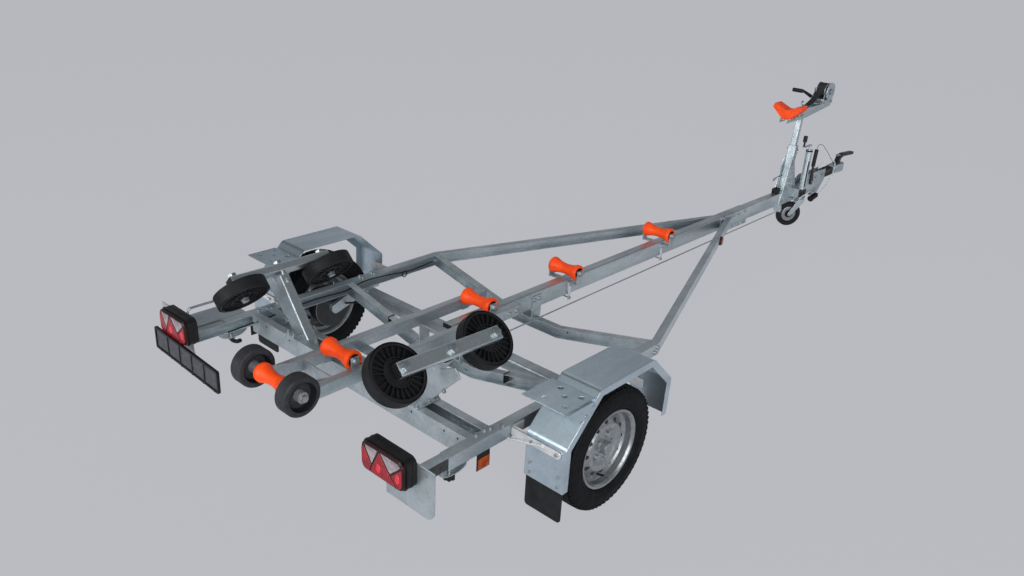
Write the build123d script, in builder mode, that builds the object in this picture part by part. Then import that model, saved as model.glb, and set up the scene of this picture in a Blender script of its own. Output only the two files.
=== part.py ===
"""Single-axle boat trailer, about 5.9 m long, parked nose-down on its jockey wheel.

Every piece is drawn in the chassis frame: +X forward, +Y left, +Z up, with the origin on the floor
under the axle and the drawbar level.  At the end all pieces are turned together by NOSE_DOWN about the
road wheels' axis, so that the tyres and the jockey wheel stand on one floor, and shifted so that the
origin is at the centre of the footprint.
"""

from build123d import *
from math import atan2, cos, radians, sin, sqrt, tan
import os

os.makedirs("parts", exist_ok=True)

# ---------------------------------------------------------------- driving dimensions, mm and degrees
NOSE_DOWN = 2.83             # the drawbar slopes down to the jockey wheel when parked
TRACK = 1952                 # between the tyres' centre planes
SNUG = 0.5                   # gap at telescoping fits
RUNNING = 0.05               # radial gap of a wheel or roller on its axle

TYRE_DIAMETER = 565          # 165/70 R13
TYRE_WIDTH = 165
RIM_FLANGE_DIAMETER = 362
RIM_WIDTH = 140
STUD_CIRCLE = 112            # wheel bolts
STUD_COUNT = 5
DRUM_DIAMETER = 216

DRAWBAR_WIDTH = 60
DRAWBAR_HEIGHT = 95
DRAWBAR_TOP = 473
DRAWBAR_WALL = 4
DRAWBAR_REAR = 50
DRAWBAR_FRONT = 3960

RAIL_TOP = 450               # side rails, cross-members and braces are flush at this height
RAIL_HEIGHT = 60
RAIL_WIDTH = 50
RAIL_OUTER = 800             # distance of a side rail's outer face from the centre plane
RAIL_REAR = -700
RAIL_FRONT = 700
SECTION_WALL = 4             # wall of the open profiles

CROSS_DEPTH = 40             # fore and aft size of a cross-member
CROSS_DROP = 125             # how far a cross-member's middle lies below its ends
CROSS_FLAT = 200             # half length of its level middle
FRONT_CROSS_X = 680
MIDDLE_CROSS_X = 40
REAR_CROSS_X = -497          # middle of the gap between its two channels
REAR_CROSS_HEIGHT = 90
REAR_CROSS_GAP = 50          # between the two rear channels, where the bogie posts are clamped

BRACE_WIDTH = 40
BRACE_FRONT = 2770           # where a brace's outer edge meets the drawbar
BRACE_PLATE_REAR = 2620      # clamp plates on the drawbar's sides
BRACE_PLATE_FRONT = 2990
BRACE_PLATE_BOTTOM = 356

AXLE_TUBE_X = 175
AXLE_TUBE_SIZE = 70
AXLE_TUBE_HALF = 830

KEEL_RAIL_Y = 120
KEEL_RAIL_WIDTH = 40
KEEL_RAIL_HEIGHT = 60
KEEL_RAIL_TOP = 515
KEEL_RAIL_FRONT = 420
KEEL_RAIL_REAR = -815
TUBE_WALL = 3

KEEL_ROLLER_LENGTH = 187
KEEL_ROLLER_DIAMETER = 88
KEEL_ROLLER_WAIST = 58
KEEL_AXLE_DIAMETER = 16
CARRIER_WIDTH = 45
PLATE = 5
REAR_ROLLER_X = -917
REAR_ROLLER_Z = 532
REAR_WHEEL_DIAMETER = 176
REAR_WHEEL_WIDTH = 76
REAR_WHEEL_Y = 160

BOGIE_X = -490.5
BOGIE_Y = 534                # centre of the bogie wheels
BOGIE_Z = {1: 684, -1: 696}  # the two clamps are set a little differently
BOGIE_SLOPE = {1: 0.3, -1: 1.9}  # how far each beam hangs nose-down at rest
BOGIE_TILT = 44              # the wheels lean in to the hull
BOGIE_WHEEL_SPACING = 475
BOGIE_WHEEL_DIAMETER = 246
BOGIE_WHEEL_WIDTH = 60
BOGIE_FIN_COUNT = 24
BOGIE_FIN_THICKNESS = 4
BOGIE_HUB_DIAMETER = 110
BOGIE_POST_SIZE = 50
BOGIE_POST_FOOT_Y = 315
BOGIE_BEAM_LENGTH = 530
BOGIE_BEAM_HEIGHT = 60
BOGIE_BEAM_WIDTH = 40
BOGIE_BEAM_OFFSET = 62       # wheel centre plane to beam centre plane
BOGIE_PIN_DIAMETER = 20

GUARD_INNER = 878
GUARD_OUTER = 1079
GUARD_THICKNESS = 2.5
GUARD_LIP = 32

BOOM_REAR = -905
BOOM_FRONT = -250
BOOM_PLATE = 4               # upright plate across a boom's rear end, which carries the lamp
LAMP_WIDTH = 235
LAMP_HEIGHT = 128
LAMP_DEPTH = 46
LAMP_LENS_DEPTH = 17
LAMP_CORNER = 30
LAMP_Y = RAIL_OUTER - 59
LAMP_Z = 516
HOLDER_Y = RAIL_OUTER - 175  # number-plate holder under the left lamp
HOLDER_Z = 403
HOLDER_WIDTH = 550
HOLDER_HEIGHT = 112
HOLDER_THICKNESS = 8
HOLDER_TILT = 2.5            # its inboard end hangs lower

POST_X = 3608                # winch post, where its axis meets the drawbar's top
POST_LEAN = 6
POST_SIZE = 40
POST_WALL = 4
POST_SLEEVE_X = 50
POST_SLEEVE_TOP = 820
ARM_TOP = 1097               # the folded channel that carries the winch and the bow stop
ARM_FRONT = 4110
ARM_WIDTH = 60
ARM_WALL = 4
BOW_STOP_X = 3460
BOW_STOP_Z = 1049
BOW_STOP_LENGTH = 95
WINCH_X = 4000
DRUM_Z = 1190
DRUM_RADIUS = 50
DRUM_FLANGE_RADIUS = 62
GEAR_RADIUS = 66
DRUM_Y = 42                  # half the distance between the winch's side plates
CRANK_ARM_LENGTH = 150

JOCKEY_X = 3755              # the jockey tube
JOCKEY_Y = -DRAWBAR_WIDTH / 2 - 54
JOCKEY_TRAIL = 77            # the wheel's axle lies this far from the tube's axis
JOCKEY_SWIVEL = 39           # and trails inwards by this angle
JOCKEY_WHEEL_DIAMETER = 190
JOCKEY_WHEEL_WIDTH = 45
JOCKEY_TUBE_DIAMETER = 48
JOCKEY_TUBE_BOTTOM = 404
JOCKEY_TUBE_TOP = 780
JOCKEY_CRANK_REACH = 115

BRAKE_ROD_DIAMETER = 8
BRAKE_ROD_Y = -75
BRAKE_ROD_REAR_Z = 338
BRAKE_ROD_FRONT_X = 3470
BRAKE_ROD_FRONT_Z = 366

COUPLING_AXIS_Z = 492
BALL_DIAMETER = 50
COUPLING_HEAD_X = 4620
HOUSING_REAR = 3785
HOUSING_FRONT = 4275
BELLOWS_LENGTH = 150
BELLOWS_FOLDS = 7

WIRE_DIAMETER = 4            # breakaway cable
LIGHT_CABLE_DIAMETER = 7
PLUG_DIAMETER = 42

# ---------------------------------------------------------------- what follows from them
AXLE_HEIGHT = TYRE_DIAMETER / 2
DRAWBAR_BOTTOM = DRAWBAR_TOP - DRAWBAR_HEIGHT
RAIL_INNER = RAIL_OUTER - RAIL_WIDTH
RAIL_BOTTOM = RAIL_TOP - RAIL_HEIGHT
AXLE_TUBE_Z = DRAWBAR_BOTTOM - AXLE_TUBE_SIZE / 2
KEEL_RAIL_BOTTOM = KEEL_RAIL_TOP - KEEL_RAIL_HEIGHT
KEEL_RAIL_INNER = KEEL_RAIL_Y - KEEL_RAIL_WIDTH / 2
KEEL_RAIL_OUTER = KEEL_RAIL_Y + KEEL_RAIL_WIDTH / 2
WHEEL_Y = TRACK / 2
SLOPE_SIN, SLOPE_COS = sin(radians(NOSE_DOWN)), cos(radians(NOSE_DOWN))
JOCKEY_AXLE_X = JOCKEY_X - JOCKEY_TRAIL * cos(radians(JOCKEY_SWIVEL))
JOCKEY_RADIUS = JOCKEY_WHEEL_DIAMETER / 2
JOCKEY_TREAD_HALF = JOCKEY_WHEEL_WIDTH / 2 - 10
# swivelled, the wheel leans a little with the chassis, so it stands on one edge of its tread
JOCKEY_LEAN_SIN = sin(radians(JOCKEY_SWIVEL)) * SLOPE_SIN
JOCKEY_DROP = JOCKEY_RADIUS * sqrt(1 - JOCKEY_LEAN_SIN ** 2) + JOCKEY_TREAD_HALF * JOCKEY_LEAN_SIN
JOCKEY_AXLE_Z = AXLE_HEIGHT + (JOCKEY_DROP - AXLE_HEIGHT + JOCKEY_AXLE_X * SLOPE_SIN) / SLOPE_COS

SIDES = (1, -1)               # left, right
SIDE_NAMES = {1: "left", -1: "right"}

# x, height of the roller's axis, and what carries it
KEEL_ROLLERS = (
    (1878, 528, "drawbar"),
    (955, 524, "drawbar"),
    (267, 530, "rails"),
    (-586, 538, "rails"),
)

pieces = {}


def side_box(x0, x1, y0, y1, z0, z1, side):
    """A box between two limits on each axis, on the side that side (1 or -1) names."""
    box = Box(x1 - x0, y1 - y0, z1 - z0, mode=Mode.PRIVATE)
    return Pos((x0 + x1) / 2, side * (y0 + y1) / 2, (z0 + z1) / 2) * box


# ---------------------------------------------------------------- drawbar and keel frame
with BuildPart() as drawbar:
    with BuildSketch(Plane.YZ.offset(DRAWBAR_REAR)):
        with Locations((0, DRAWBAR_TOP - DRAWBAR_HEIGHT / 2)):
            RectangleRounded(DRAWBAR_WIDTH, DRAWBAR_HEIGHT, 2 * DRAWBAR_WALL)
            RectangleRounded(DRAWBAR_WIDTH - 2 * DRAWBAR_WALL, DRAWBAR_HEIGHT - 2 * DRAWBAR_WALL,
                             DRAWBAR_WALL, mode=Mode.SUBTRACT)
    extrude(amount=DRAWBAR_FRONT - DRAWBAR_REAR)
pieces["drawbar"] = drawbar.part

with BuildPart() as keel_rails:
    with BuildSketch(Plane.YZ.offset(KEEL_RAIL_REAR)):
        with Locations(*((side * KEEL_RAIL_Y, KEEL_RAIL_TOP - KEEL_RAIL_HEIGHT / 2) for side in SIDES)):
            RectangleRounded(KEEL_RAIL_WIDTH, KEEL_RAIL_HEIGHT, 2 * TUBE_WALL)
            RectangleRounded(KEEL_RAIL_WIDTH - 2 * TUBE_WALL, KEEL_RAIL_HEIGHT - 2 * TUBE_WALL,
                             TUBE_WALL, mode=Mode.SUBTRACT)
    extrude(amount=KEEL_RAIL_FRONT - KEEL_RAIL_REAR)
pieces["keel_rails"] = keel_rails.part

SPACER_REAR, SPACER_FRONT = 330, 410
# x of the rear face, length and height of each plate between the keel rails
KEEL_TIES = (
    (-715, 6, 56),
    (-420, 60, 6),
    (-30, 60, 6),
)
with BuildPart() as frame_brackets:
    for tie_x, tie_length, tie_height in KEEL_TIES:
        with BuildSketch(Plane.XY.offset(KEEL_RAIL_BOTTOM)):
            with Locations((tie_x + tie_length / 2, 0)):
                Rectangle(tie_length, 2 * KEEL_RAIL_INNER)
        extrude(amount=tie_height)
    # the keel rails' front ends are bolted to the drawbar through spacers
    for side in SIDES:
        add(side_box(SPACER_REAR, SPACER_FRONT, DRAWBAR_WIDTH / 2, KEEL_RAIL_INNER,
                     KEEL_RAIL_BOTTOM, DRAWBAR_TOP, side))
# ---------------------------------------------------------------- side rails and cross-members
with BuildPart() as side_rails:
    for side in SIDES:
        add(side_box(RAIL_REAR, RAIL_FRONT, RAIL_INNER, RAIL_OUTER, RAIL_BOTTOM, RAIL_TOP, side))
        add(side_box(RAIL_REAR, RAIL_FRONT, RAIL_INNER, RAIL_OUTER - SECTION_WALL,
                     RAIL_BOTTOM + SECTION_WALL, RAIL_TOP - SECTION_WALL, side), mode=Mode.SUBTRACT)
pieces["side_rails"] = side_rails.part


def cross_outline(inset):
    """Front view of a dropped cross-member, made thinner by inset at the top and the bottom."""
    top = ((-RAIL_INNER, RAIL_TOP - inset), (-CROSS_FLAT, RAIL_TOP - CROSS_DROP - inset),
           (CROSS_FLAT, RAIL_TOP - CROSS_DROP - inset), (RAIL_INNER, RAIL_TOP - inset))
    lower = RAIL_HEIGHT - 2 * inset
    bottom = tuple((y, z - lower) for y, z in reversed(top))
    return top + bottom


for name, cross_x in (("front", FRONT_CROSS_X), ("middle", MIDDLE_CROSS_X)):
    with BuildPart() as cross_member:
        with BuildSketch(Plane.YZ.offset(cross_x - CROSS_DEPTH / 2)):
            Polygon(*cross_outline(0), align=None)
        extrude(amount=CROSS_DEPTH)
        with BuildSketch(Plane.YZ.offset(cross_x - CROSS_DEPTH / 2)):
            Polygon(*cross_outline(SECTION_WALL), align=None)
        extrude(amount=CROSS_DEPTH - SECTION_WALL, mode=Mode.SUBTRACT)
    pieces[f"{name}_cross_member"] = cross_member.part

# a U-shaped riser holds the drawbar on the front member, and two brackets the keel rails on the middle one
RISER_LENGTH = 70
CROSS_MIDDLE_TOP = RAIL_TOP - CROSS_DROP
with BuildPart() as frame_risers:
    half = DRAWBAR_WIDTH / 2
    add(side_box(FRONT_CROSS_X - RISER_LENGTH / 2, FRONT_CROSS_X + RISER_LENGTH / 2, -half - PLATE,
                 half + PLATE, CROSS_MIDDLE_TOP, DRAWBAR_TOP - 20, 1))
    add(side_box(FRONT_CROSS_X - RISER_LENGTH / 2, FRONT_CROSS_X + RISER_LENGTH / 2, -half, half,
                 CROSS_MIDDLE_TOP + PLATE, DRAWBAR_TOP, 1), mode=Mode.SUBTRACT)
    for side in SIDES:
        add(side_box(MIDDLE_CROSS_X - 45, MIDDLE_CROSS_X + 20, KEEL_RAIL_OUTER, KEEL_RAIL_OUTER + PLATE,
                     CROSS_MIDDLE_TOP, KEEL_RAIL_TOP - 8, side))
        add(side_box(MIDDLE_CROSS_X - 20, MIDDLE_CROSS_X + 20, KEEL_RAIL_OUTER, KEEL_RAIL_OUTER + 40,
                     CROSS_MIDDLE_TOP, CROSS_MIDDLE_TOP + PLATE, side))

# two channels across the rear, back to back, with the bogie posts clamped between them
REAR_CHANNELS = (
    (REAR_CROSS_X - REAR_CROSS_GAP / 2 - CROSS_DEPTH, REAR_CROSS_HEIGHT, 0),
    (REAR_CROSS_X + REAR_CROSS_GAP / 2, RAIL_HEIGHT, SECTION_WALL),
)
with BuildPart() as rear_cross_member:
    for channel_x, height, web_shift in REAR_CHANNELS:
        add(side_box(channel_x, channel_x + CROSS_DEPTH, -RAIL_INNER, RAIL_INNER,
                     RAIL_TOP - height, RAIL_TOP, 1))
        cut_x = channel_x + SECTION_WALL - web_shift
        add(side_box(cut_x, cut_x + CROSS_DEPTH - SECTION_WALL, -RAIL_INNER, RAIL_INNER,
                     RAIL_TOP - height + SECTION_WALL, RAIL_TOP - SECTION_WALL, 1), mode=Mode.SUBTRACT)
pieces["rear_cross_member"] = rear_cross_member.part

with BuildPart() as keel_saddles:
    for side in SIDES:
        add(side_box(REAR_CROSS_X - 50, REAR_CROSS_X + 50, KEEL_RAIL_INNER - 10, KEEL_RAIL_OUTER + 10,
                     RAIL_TOP, KEEL_RAIL_BOTTOM, side))
pieces["frame_brackets"] = frame_brackets.part + frame_risers.part + keel_saddles.part

# ---------------------------------------------------------------- braces from the corners to the drawbar
BRACE_FOOT = DRAWBAR_WIDTH / 2 + PLATE
BRACE_ANGLE = atan2(RAIL_OUTER - BRACE_FOOT, BRACE_FRONT - RAIL_FRONT)


def brace_outline(outer_inset, width, rear, foot):
    """Plan of the left brace between x = rear and y = foot, width wide, inset from the outer edge."""
    shift = outer_inset / cos(BRACE_ANGLE)
    slope = (RAIL_OUTER - BRACE_FOOT) / (BRACE_FRONT - RAIL_FRONT)
    step = width / cos(BRACE_ANGLE)

    def edge_y(x, drop):
        return RAIL_OUTER - drop - slope * (x - RAIL_FRONT)

    def edge_x(y, drop):
        return RAIL_FRONT + (RAIL_OUTER - drop - y) / slope

    return ((rear, edge_y(rear, shift)), (edge_x(foot, shift), foot),
            (edge_x(foot, shift + step), foot), (rear, edge_y(rear, shift + step)))


with BuildPart() as braces:
    with BuildSketch(Plane.XY.offset(RAIL_BOTTOM)):
        Polygon(*brace_outline(0, BRACE_WIDTH, RAIL_FRONT + PLATE, BRACE_FOOT), align=None)
    extrude(amount=RAIL_HEIGHT)
    with BuildSketch(Plane.XY.offset(RAIL_BOTTOM + SECTION_WALL)):
        Polygon(*brace_outline(SECTION_WALL, BRACE_WIDTH, RAIL_FRONT + 3 * PLATE,
                               BRACE_FOOT + 2 * PLATE), align=None)
    extrude(amount=RAIL_HEIGHT - 2 * SECTION_WALL, mode=Mode.SUBTRACT)
    add(side_box(RAIL_FRONT, RAIL_FRONT + PLATE, RAIL_INNER, RAIL_OUTER, RAIL_BOTTOM, RAIL_TOP, 1))
    add(side_box(BRACE_PLATE_REAR, BRACE_PLATE_FRONT, DRAWBAR_WIDTH / 2, BRACE_FOOT,
                 BRACE_PLATE_BOTTOM, DRAWBAR_TOP - 3, 1))
    mirror(about=Plane.XZ)
pieces["braces"] = braces.part

# ---------------------------------------------------------------- axle, arms and brakes
with BuildPart() as axle_beam:
    with BuildSketch(Plane.XZ.offset(-AXLE_TUBE_HALF)):
        with Locations((AXLE_TUBE_X, AXLE_TUBE_Z)):
            RectangleRounded(AXLE_TUBE_SIZE, AXLE_TUBE_SIZE, 14)
    extrude(amount=2 * AXLE_TUBE_HALF)
    # mounting pads between the tube and the side rails
    for side in SIDES:
        add(side_box(AXLE_TUBE_X - 60, AXLE_TUBE_X + 60, RAIL_INNER, RAIL_OUTER, DRAWBAR_BOTTOM, RAIL_BOTTOM, side))
pieces["axle_beam"] = axle_beam.part

ARM_THICKNESS = 26
BACKPLATE_Y = AXLE_TUBE_HALF + ARM_THICKNESS + 6
STUB_DIAMETER = 30
STUB_END = 996
with BuildPart() as swing_arms:
    with BuildSketch(Plane.XZ.offset(-AXLE_TUBE_HALF)):
        with Locations((AXLE_TUBE_X, AXLE_TUBE_Z)):
            Circle(AXLE_TUBE_SIZE / 2)
        with Locations((0, AXLE_HEIGHT)):
            Circle(28)
        make_hull()
    extrude(amount=-ARM_THICKNESS)
    # hub boss, backplate and stub axle: each disc's inner face, radius and thickness
    for face_y, radius, thickness in ((BACKPLATE_Y - 6, 28, 6), (BACKPLATE_Y, DRUM_DIAMETER / 2 + 4, 4),
                                      (BACKPLATE_Y + 4, STUB_DIAMETER / 2, STUB_END - BACKPLATE_Y - 4)):
        with BuildSketch(Plane.XZ.offset(-face_y)):
            with Locations((0, AXLE_HEIGHT)):
                Circle(radius)
        extrude(amount=-thickness)
    mirror(about=Plane.XZ)
pieces["swing_arms"] = swing_arms.part

WHEEL_FACE = WHEEL_Y + 30     # the drum's face, where the wheel is bolted on
DRUM_REAR = BACKPLATE_Y + 7
CAP_DIAMETER = 56
for side in SIDES:
    with BuildPart() as brake_drum:
        with BuildSketch():
            with BuildLine():
                Polyline((STUB_DIAMETER / 2 + RUNNING, DRUM_REAR + 12), (DRUM_DIAMETER / 2 - 8, DRUM_REAR + 12),
                         (DRUM_DIAMETER / 2 - 8, DRUM_REAR), (DRUM_DIAMETER / 2, DRUM_REAR),
                         (DRUM_DIAMETER / 2, DRUM_REAR + 62), (72, DRUM_REAR + 74), (72, WHEEL_FACE),
                         (CAP_DIAMETER / 2, WHEEL_FACE), (CAP_DIAMETER / 2, WHEEL_FACE + 26),
                         (CAP_DIAMETER / 2 - 5, WHEEL_FACE + 32), (0, WHEEL_FACE + 32), (0, STUB_END + 2),
                         (STUB_DIAMETER / 2 + RUNNING, STUB_END + 2), close=True)
            make_face()
        revolve(axis=Axis.Y)
        if side < 0:
            mirror(about=Plane.XZ, mode=Mode.REPLACE)
    pieces[f"brake_drum_{SIDE_NAMES[side]}"] = Pos(0, 0, AXLE_HEIGHT) * brake_drum.part

# ---------------------------------------------------------------- road wheels
RIM_GAUGE = 4
BEAD_RADIUS = 167
WELL_RADIUS = 150
DISC_BEND = 86
VENT_COUNT = 12
VENT_CIRCLE = 121
for side in SIDES:
    with BuildPart() as road_wheel:
        with BuildSketch():
            with BuildLine():
                half = RIM_WIDTH / 2
                Polyline((RIM_FLANGE_DIAMETER / 2, -half + 2), (BEAD_RADIUS + 6, -half + 4),
                         (BEAD_RADIUS, -half + 12), (BEAD_RADIUS - 2, -32), (WELL_RADIUS, -24),
                         (WELL_RADIUS, 16), (BEAD_RADIUS - 2, 30), (BEAD_RADIUS, half - 12),
                         (BEAD_RADIUS + 6, half - 4), (RIM_FLANGE_DIAMETER / 2, half - 2))
            trace(line_width=RIM_GAUGE)
        revolve(axis=Axis.Y)
        with BuildSketch():
            with BuildLine():
                FilletPolyline((CAP_DIAMETER / 2 + 1, 32), (70, 32), (DISC_BEND, 42), (108, 44),
                               (WELL_RADIUS - 3, 14), (WELL_RADIUS - 3, -4), radius=4)
            trace(line_width=RIM_GAUGE)
        revolve(axis=Axis.Y)
        with BuildSketch(Plane.XZ.offset(-80)):
            with PolarLocations(VENT_CIRCLE, VENT_COUNT):
                Circle(11)
        extrude(amount=80, mode=Mode.SUBTRACT)
        with BuildSketch(Plane.XZ.offset(-80)):
            with PolarLocations(STUD_CIRCLE / 2, STUD_COUNT):
                Circle(6.5)
        extrude(amount=80, mode=Mode.SUBTRACT)
        if side < 0:
            mirror(about=Plane.XZ, mode=Mode.REPLACE)
    pieces[f"road_wheel_{SIDE_NAMES[side]}"] = Pos(0, side * WHEEL_Y, AXLE_HEIGHT) * road_wheel.part

TREAD_HALF = 58
WALL_RADIUS = 222
with BuildPart() as tyre:
    with BuildSketch():
        with BuildLine():
            half = TYRE_WIDTH / 2
            bead = BEAD_RADIUS + RIM_GAUGE / 2 + 0.5
            crown = TYRE_DIAMETER / 2
            Polyline((bead, -34), (bead, -RIM_WIDTH / 2 + 14), (bead + 12, -RIM_WIDTH / 2 + 9))
            ThreePointArc((bead + 12, -RIM_WIDTH / 2 + 9), (WALL_RADIUS, -half), (crown - 8, -TREAD_HALF - 6))
            ThreePointArc((crown - 8, -TREAD_HALF - 6), (crown - 2, -TREAD_HALF + 2), (crown, -TREAD_HALF + 14))
            Line((crown, -TREAD_HALF + 14), (crown, TREAD_HALF - 14))
            ThreePointArc((crown, TREAD_HALF - 14), (crown - 2, TREAD_HALF - 2), (crown - 8, TREAD_HALF + 6))
            ThreePointArc((crown - 8, TREAD_HALF + 6), (WALL_RADIUS, half), (bead + 12, RIM_WIDTH / 2 - 9))
            Polyline((bead + 12, RIM_WIDTH / 2 - 9), (bead, RIM_WIDTH / 2 - 14), (bead, 34))
            Polyline((bead, 34), (WALL_RADIUS, half - 12), (crown - 14, TREAD_HALF - 4),
                     (crown - 14, -TREAD_HALF + 4), (WALL_RADIUS, -half + 12), (bead, -34))
        make_face()
    revolve(axis=Axis.Y)
for side in SIDES:
    pieces[f"tyre_{SIDE_NAMES[side]}"] = Pos(0, side * WHEEL_Y, AXLE_HEIGHT) * tyre.part

# ---------------------------------------------------------------- mudguards, steps and flaps
GUARD_REAR, GUARD_TOP, GUARD_FRONT = -AXLE_HEIGHT - 67.5, TYRE_DIAMETER + 82, AXLE_HEIGHT + 85.5
GUARD_LINE = ((GUARD_REAR - 2, 250), (GUARD_REAR, GUARD_TOP - 195), (GUARD_REAR + 195, GUARD_TOP),
              (GUARD_FRONT - 156, GUARD_TOP), (GUARD_FRONT, GUARD_TOP - 147), (GUARD_FRONT - 6, 322))
GUARD_MIDDLE = (GUARD_INNER + GUARD_OUTER) / 2


with BuildPart() as mudguards:
    # the inner edge and depth of the arched sheet, then of the lip along its outer edge
    for inner_y, width, depth in ((GUARD_INNER, GUARD_OUTER - GUARD_INNER, GUARD_THICKNESS),
                                  (GUARD_OUTER - GUARD_THICKNESS, GUARD_THICKNESS, GUARD_LIP)):
        with BuildSketch(Plane.XZ.offset(-inner_y)):
            with BuildLine():
                FilletPolyline(*GUARD_LINE, radius=28)
                offset(amount=depth, side=Side.RIGHT)
            make_face()
        extrude(amount=-width)
    mirror(about=Plane.XZ)
pieces["mudguards"] = mudguards.part

# flat steps, each with a lip bent down on to the guard's rear slope
STEP_REAR = GUARD_REAR - 18
STEP_Z = GUARD_TOP - 29
STEP_THICKNESS = 3
STEP_HOLES = tuple((GUARD_REAR + shift, y) for shift, y in
                   ((128, 930), (128, 1034), (88, 982), (27, 930), (27, 1034)))
GUARD_SLOPE = (GUARD_LINE[2][1] - GUARD_LINE[1][1]) / (GUARD_LINE[2][0] - GUARD_LINE[1][0])


def guard_slope_x(z):
    """Where the rear slope of the mudguard's outer face lies at height z."""
    return GUARD_LINE[1][0] + (z - GUARD_LINE[1][1]) / GUARD_SLOPE


with BuildPart() as step_plates:
    for side in SIDES:
        with BuildSketch(Plane.XZ.offset(-side * (GUARD_INNER - 25))):
            Polygon((STEP_REAR, STEP_Z), (guard_slope_x(STEP_Z), STEP_Z),
                    (guard_slope_x(STEP_Z - 43), STEP_Z - 43),
                    (guard_slope_x(STEP_Z - 43) - STEP_THICKNESS, STEP_Z - 43),
                    (guard_slope_x(STEP_Z - 4) - STEP_THICKNESS, STEP_Z - STEP_THICKNESS),
                    (STEP_REAR, STEP_Z - STEP_THICKNESS), align=None)
        extrude(amount=-side * (GUARD_OUTER - GUARD_INNER + 15))
    with BuildSketch(Plane.XY.offset(STEP_Z - 10)):
        for side in SIDES:
            with Locations(*((x, side * y) for x, y in STEP_HOLES)):
                Circle(12)
    extrude(amount=20, mode=Mode.SUBTRACT)
pieces["step_plates"] = step_plates.part

# each flap hangs from the inner face of its guard's rear wall
FLAP_BOTTOM, FLAP_TOP = 105, 330
FLAP_WIDTH = 188
FLAP_X = GUARD_LINE[1][0] + GUARD_THICKNESS - 0.8
with BuildPart() as mud_flaps:
    for side in SIDES:
        with BuildSketch(Plane.YZ.offset(FLAP_X)):
            with Locations((side * (GUARD_MIDDLE + 2), (FLAP_BOTTOM + FLAP_TOP) / 2)):
                RectangleRounded(FLAP_WIDTH, FLAP_TOP - FLAP_BOTTOM, 16)
        extrude(amount=5)
pieces["mud_flaps"] = mud_flaps.part

# flat stays from the side rails to the inside of each guard's rear and front walls, and a round bar
# from under each rail to the outside of the rear wall
STAY_BAR_RADIUS = 7
STAY_BAR_X = GUARD_LINE[1][0] - STAY_BAR_RADIUS - 1
with BuildPart() as guard_stays:
    for side in SIDES:
        inner, outer = Vector(STAY_BAR_X, side * (RAIL_OUTER - 10), 377), Vector(STAY_BAR_X, side * 968, 428)
        with BuildSketch(Plane(origin=inner, z_dir=outer - inner)):
            Circle(STAY_BAR_RADIUS)
        extrude(amount=(outer - inner).length)
        add(side_box(STAY_BAR_X - 14, STAY_BAR_X + 14, RAIL_INNER + 20, RAIL_OUTER - 6, RAIL_BOTTOM - 8,
                     RAIL_BOTTOM, side))
        for wall_x, foot in ((GUARD_LINE[1][0] + GUARD_THICKNESS + 0.3, 60), (GUARD_LINE[4][0] - 16, -60)):
            add(side_box(wall_x, wall_x + PLATE, RAIL_OUTER, GUARD_INNER + 70, 400, 440, side))
            add(side_box(min(wall_x, wall_x + foot), max(wall_x, wall_x + foot) + PLATE * (foot > 0),
                         RAIL_OUTER, RAIL_OUTER + PLATE, 400, 440, side))
pieces["guard_stays"] = guard_stays.part

# ---------------------------------------------------------------- keel rollers and what carries them
with BuildPart() as keel_roller:
    with BuildSketch():
        half = KEEL_ROLLER_LENGTH / 2
        bore = KEEL_AXLE_DIAMETER / 2 + RUNNING
        end = KEEL_ROLLER_DIAMETER / 2
        with BuildLine():
            Polyline((end - 16, half - 10), (bore, half - 10), (bore, 10 - half), (end - 16, 10 - half),
                     (end - 13, -half), (end - 3, -half), (end, 4 - half), (end, 18 - half))
            ThreePointArc((end, 18 - half), (KEEL_ROLLER_WAIST / 2, 0), (end, half - 18))
            Polyline((end, half - 18), (end, half - 4), (end - 3, half), (end - 13, half), (end - 16, half - 10))
        make_face()
    revolve(axis=Axis.Y)
for number, (x, z, carried_by) in enumerate(KEEL_ROLLERS, 1):
    pieces[f"keel_roller_{number}"] = Pos(x, 0, z) * keel_roller.part

ARM_Y = KEEL_ROLLER_LENGTH / 2 + 2
with BuildPart() as roller_carriers:
    for x, z, carried_by in KEEL_ROLLERS:
        with BuildSketch(Plane.XZ.offset(-ARM_Y - PLATE - 8)):
            with Locations((x, z)):
                Circle(KEEL_AXLE_DIAMETER / 2)
        extrude(amount=2 * (ARM_Y + PLATE + 8))
        for side in SIDES:
            if carried_by == "drawbar":
                with BuildSketch(Plane.YZ.offset(x - CARRIER_WIDTH / 2)):
                    with BuildLine():
                        shelf = DRAWBAR_TOP - 16
                        root = DRAWBAR_WIDTH / 2
                        Polyline((side * root, 400), (side * root, shelf + PLATE),
                                 (side * ARM_Y, shelf + PLATE), (side * ARM_Y, z + 16),
                                 (side * (ARM_Y + PLATE), z + 16), (side * (ARM_Y + PLATE), shelf),
                                 (side * (root + PLATE), shelf), (side * (root + PLATE), 400), close=True)
                    make_face()
                extrude(amount=CARRIER_WIDTH)
            else:
                add(side_box(x - CARRIER_WIDTH / 2, x + CARRIER_WIDTH / 2, ARM_Y, KEEL_RAIL_INNER,
                             KEEL_RAIL_BOTTOM, z + 20, side))

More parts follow.
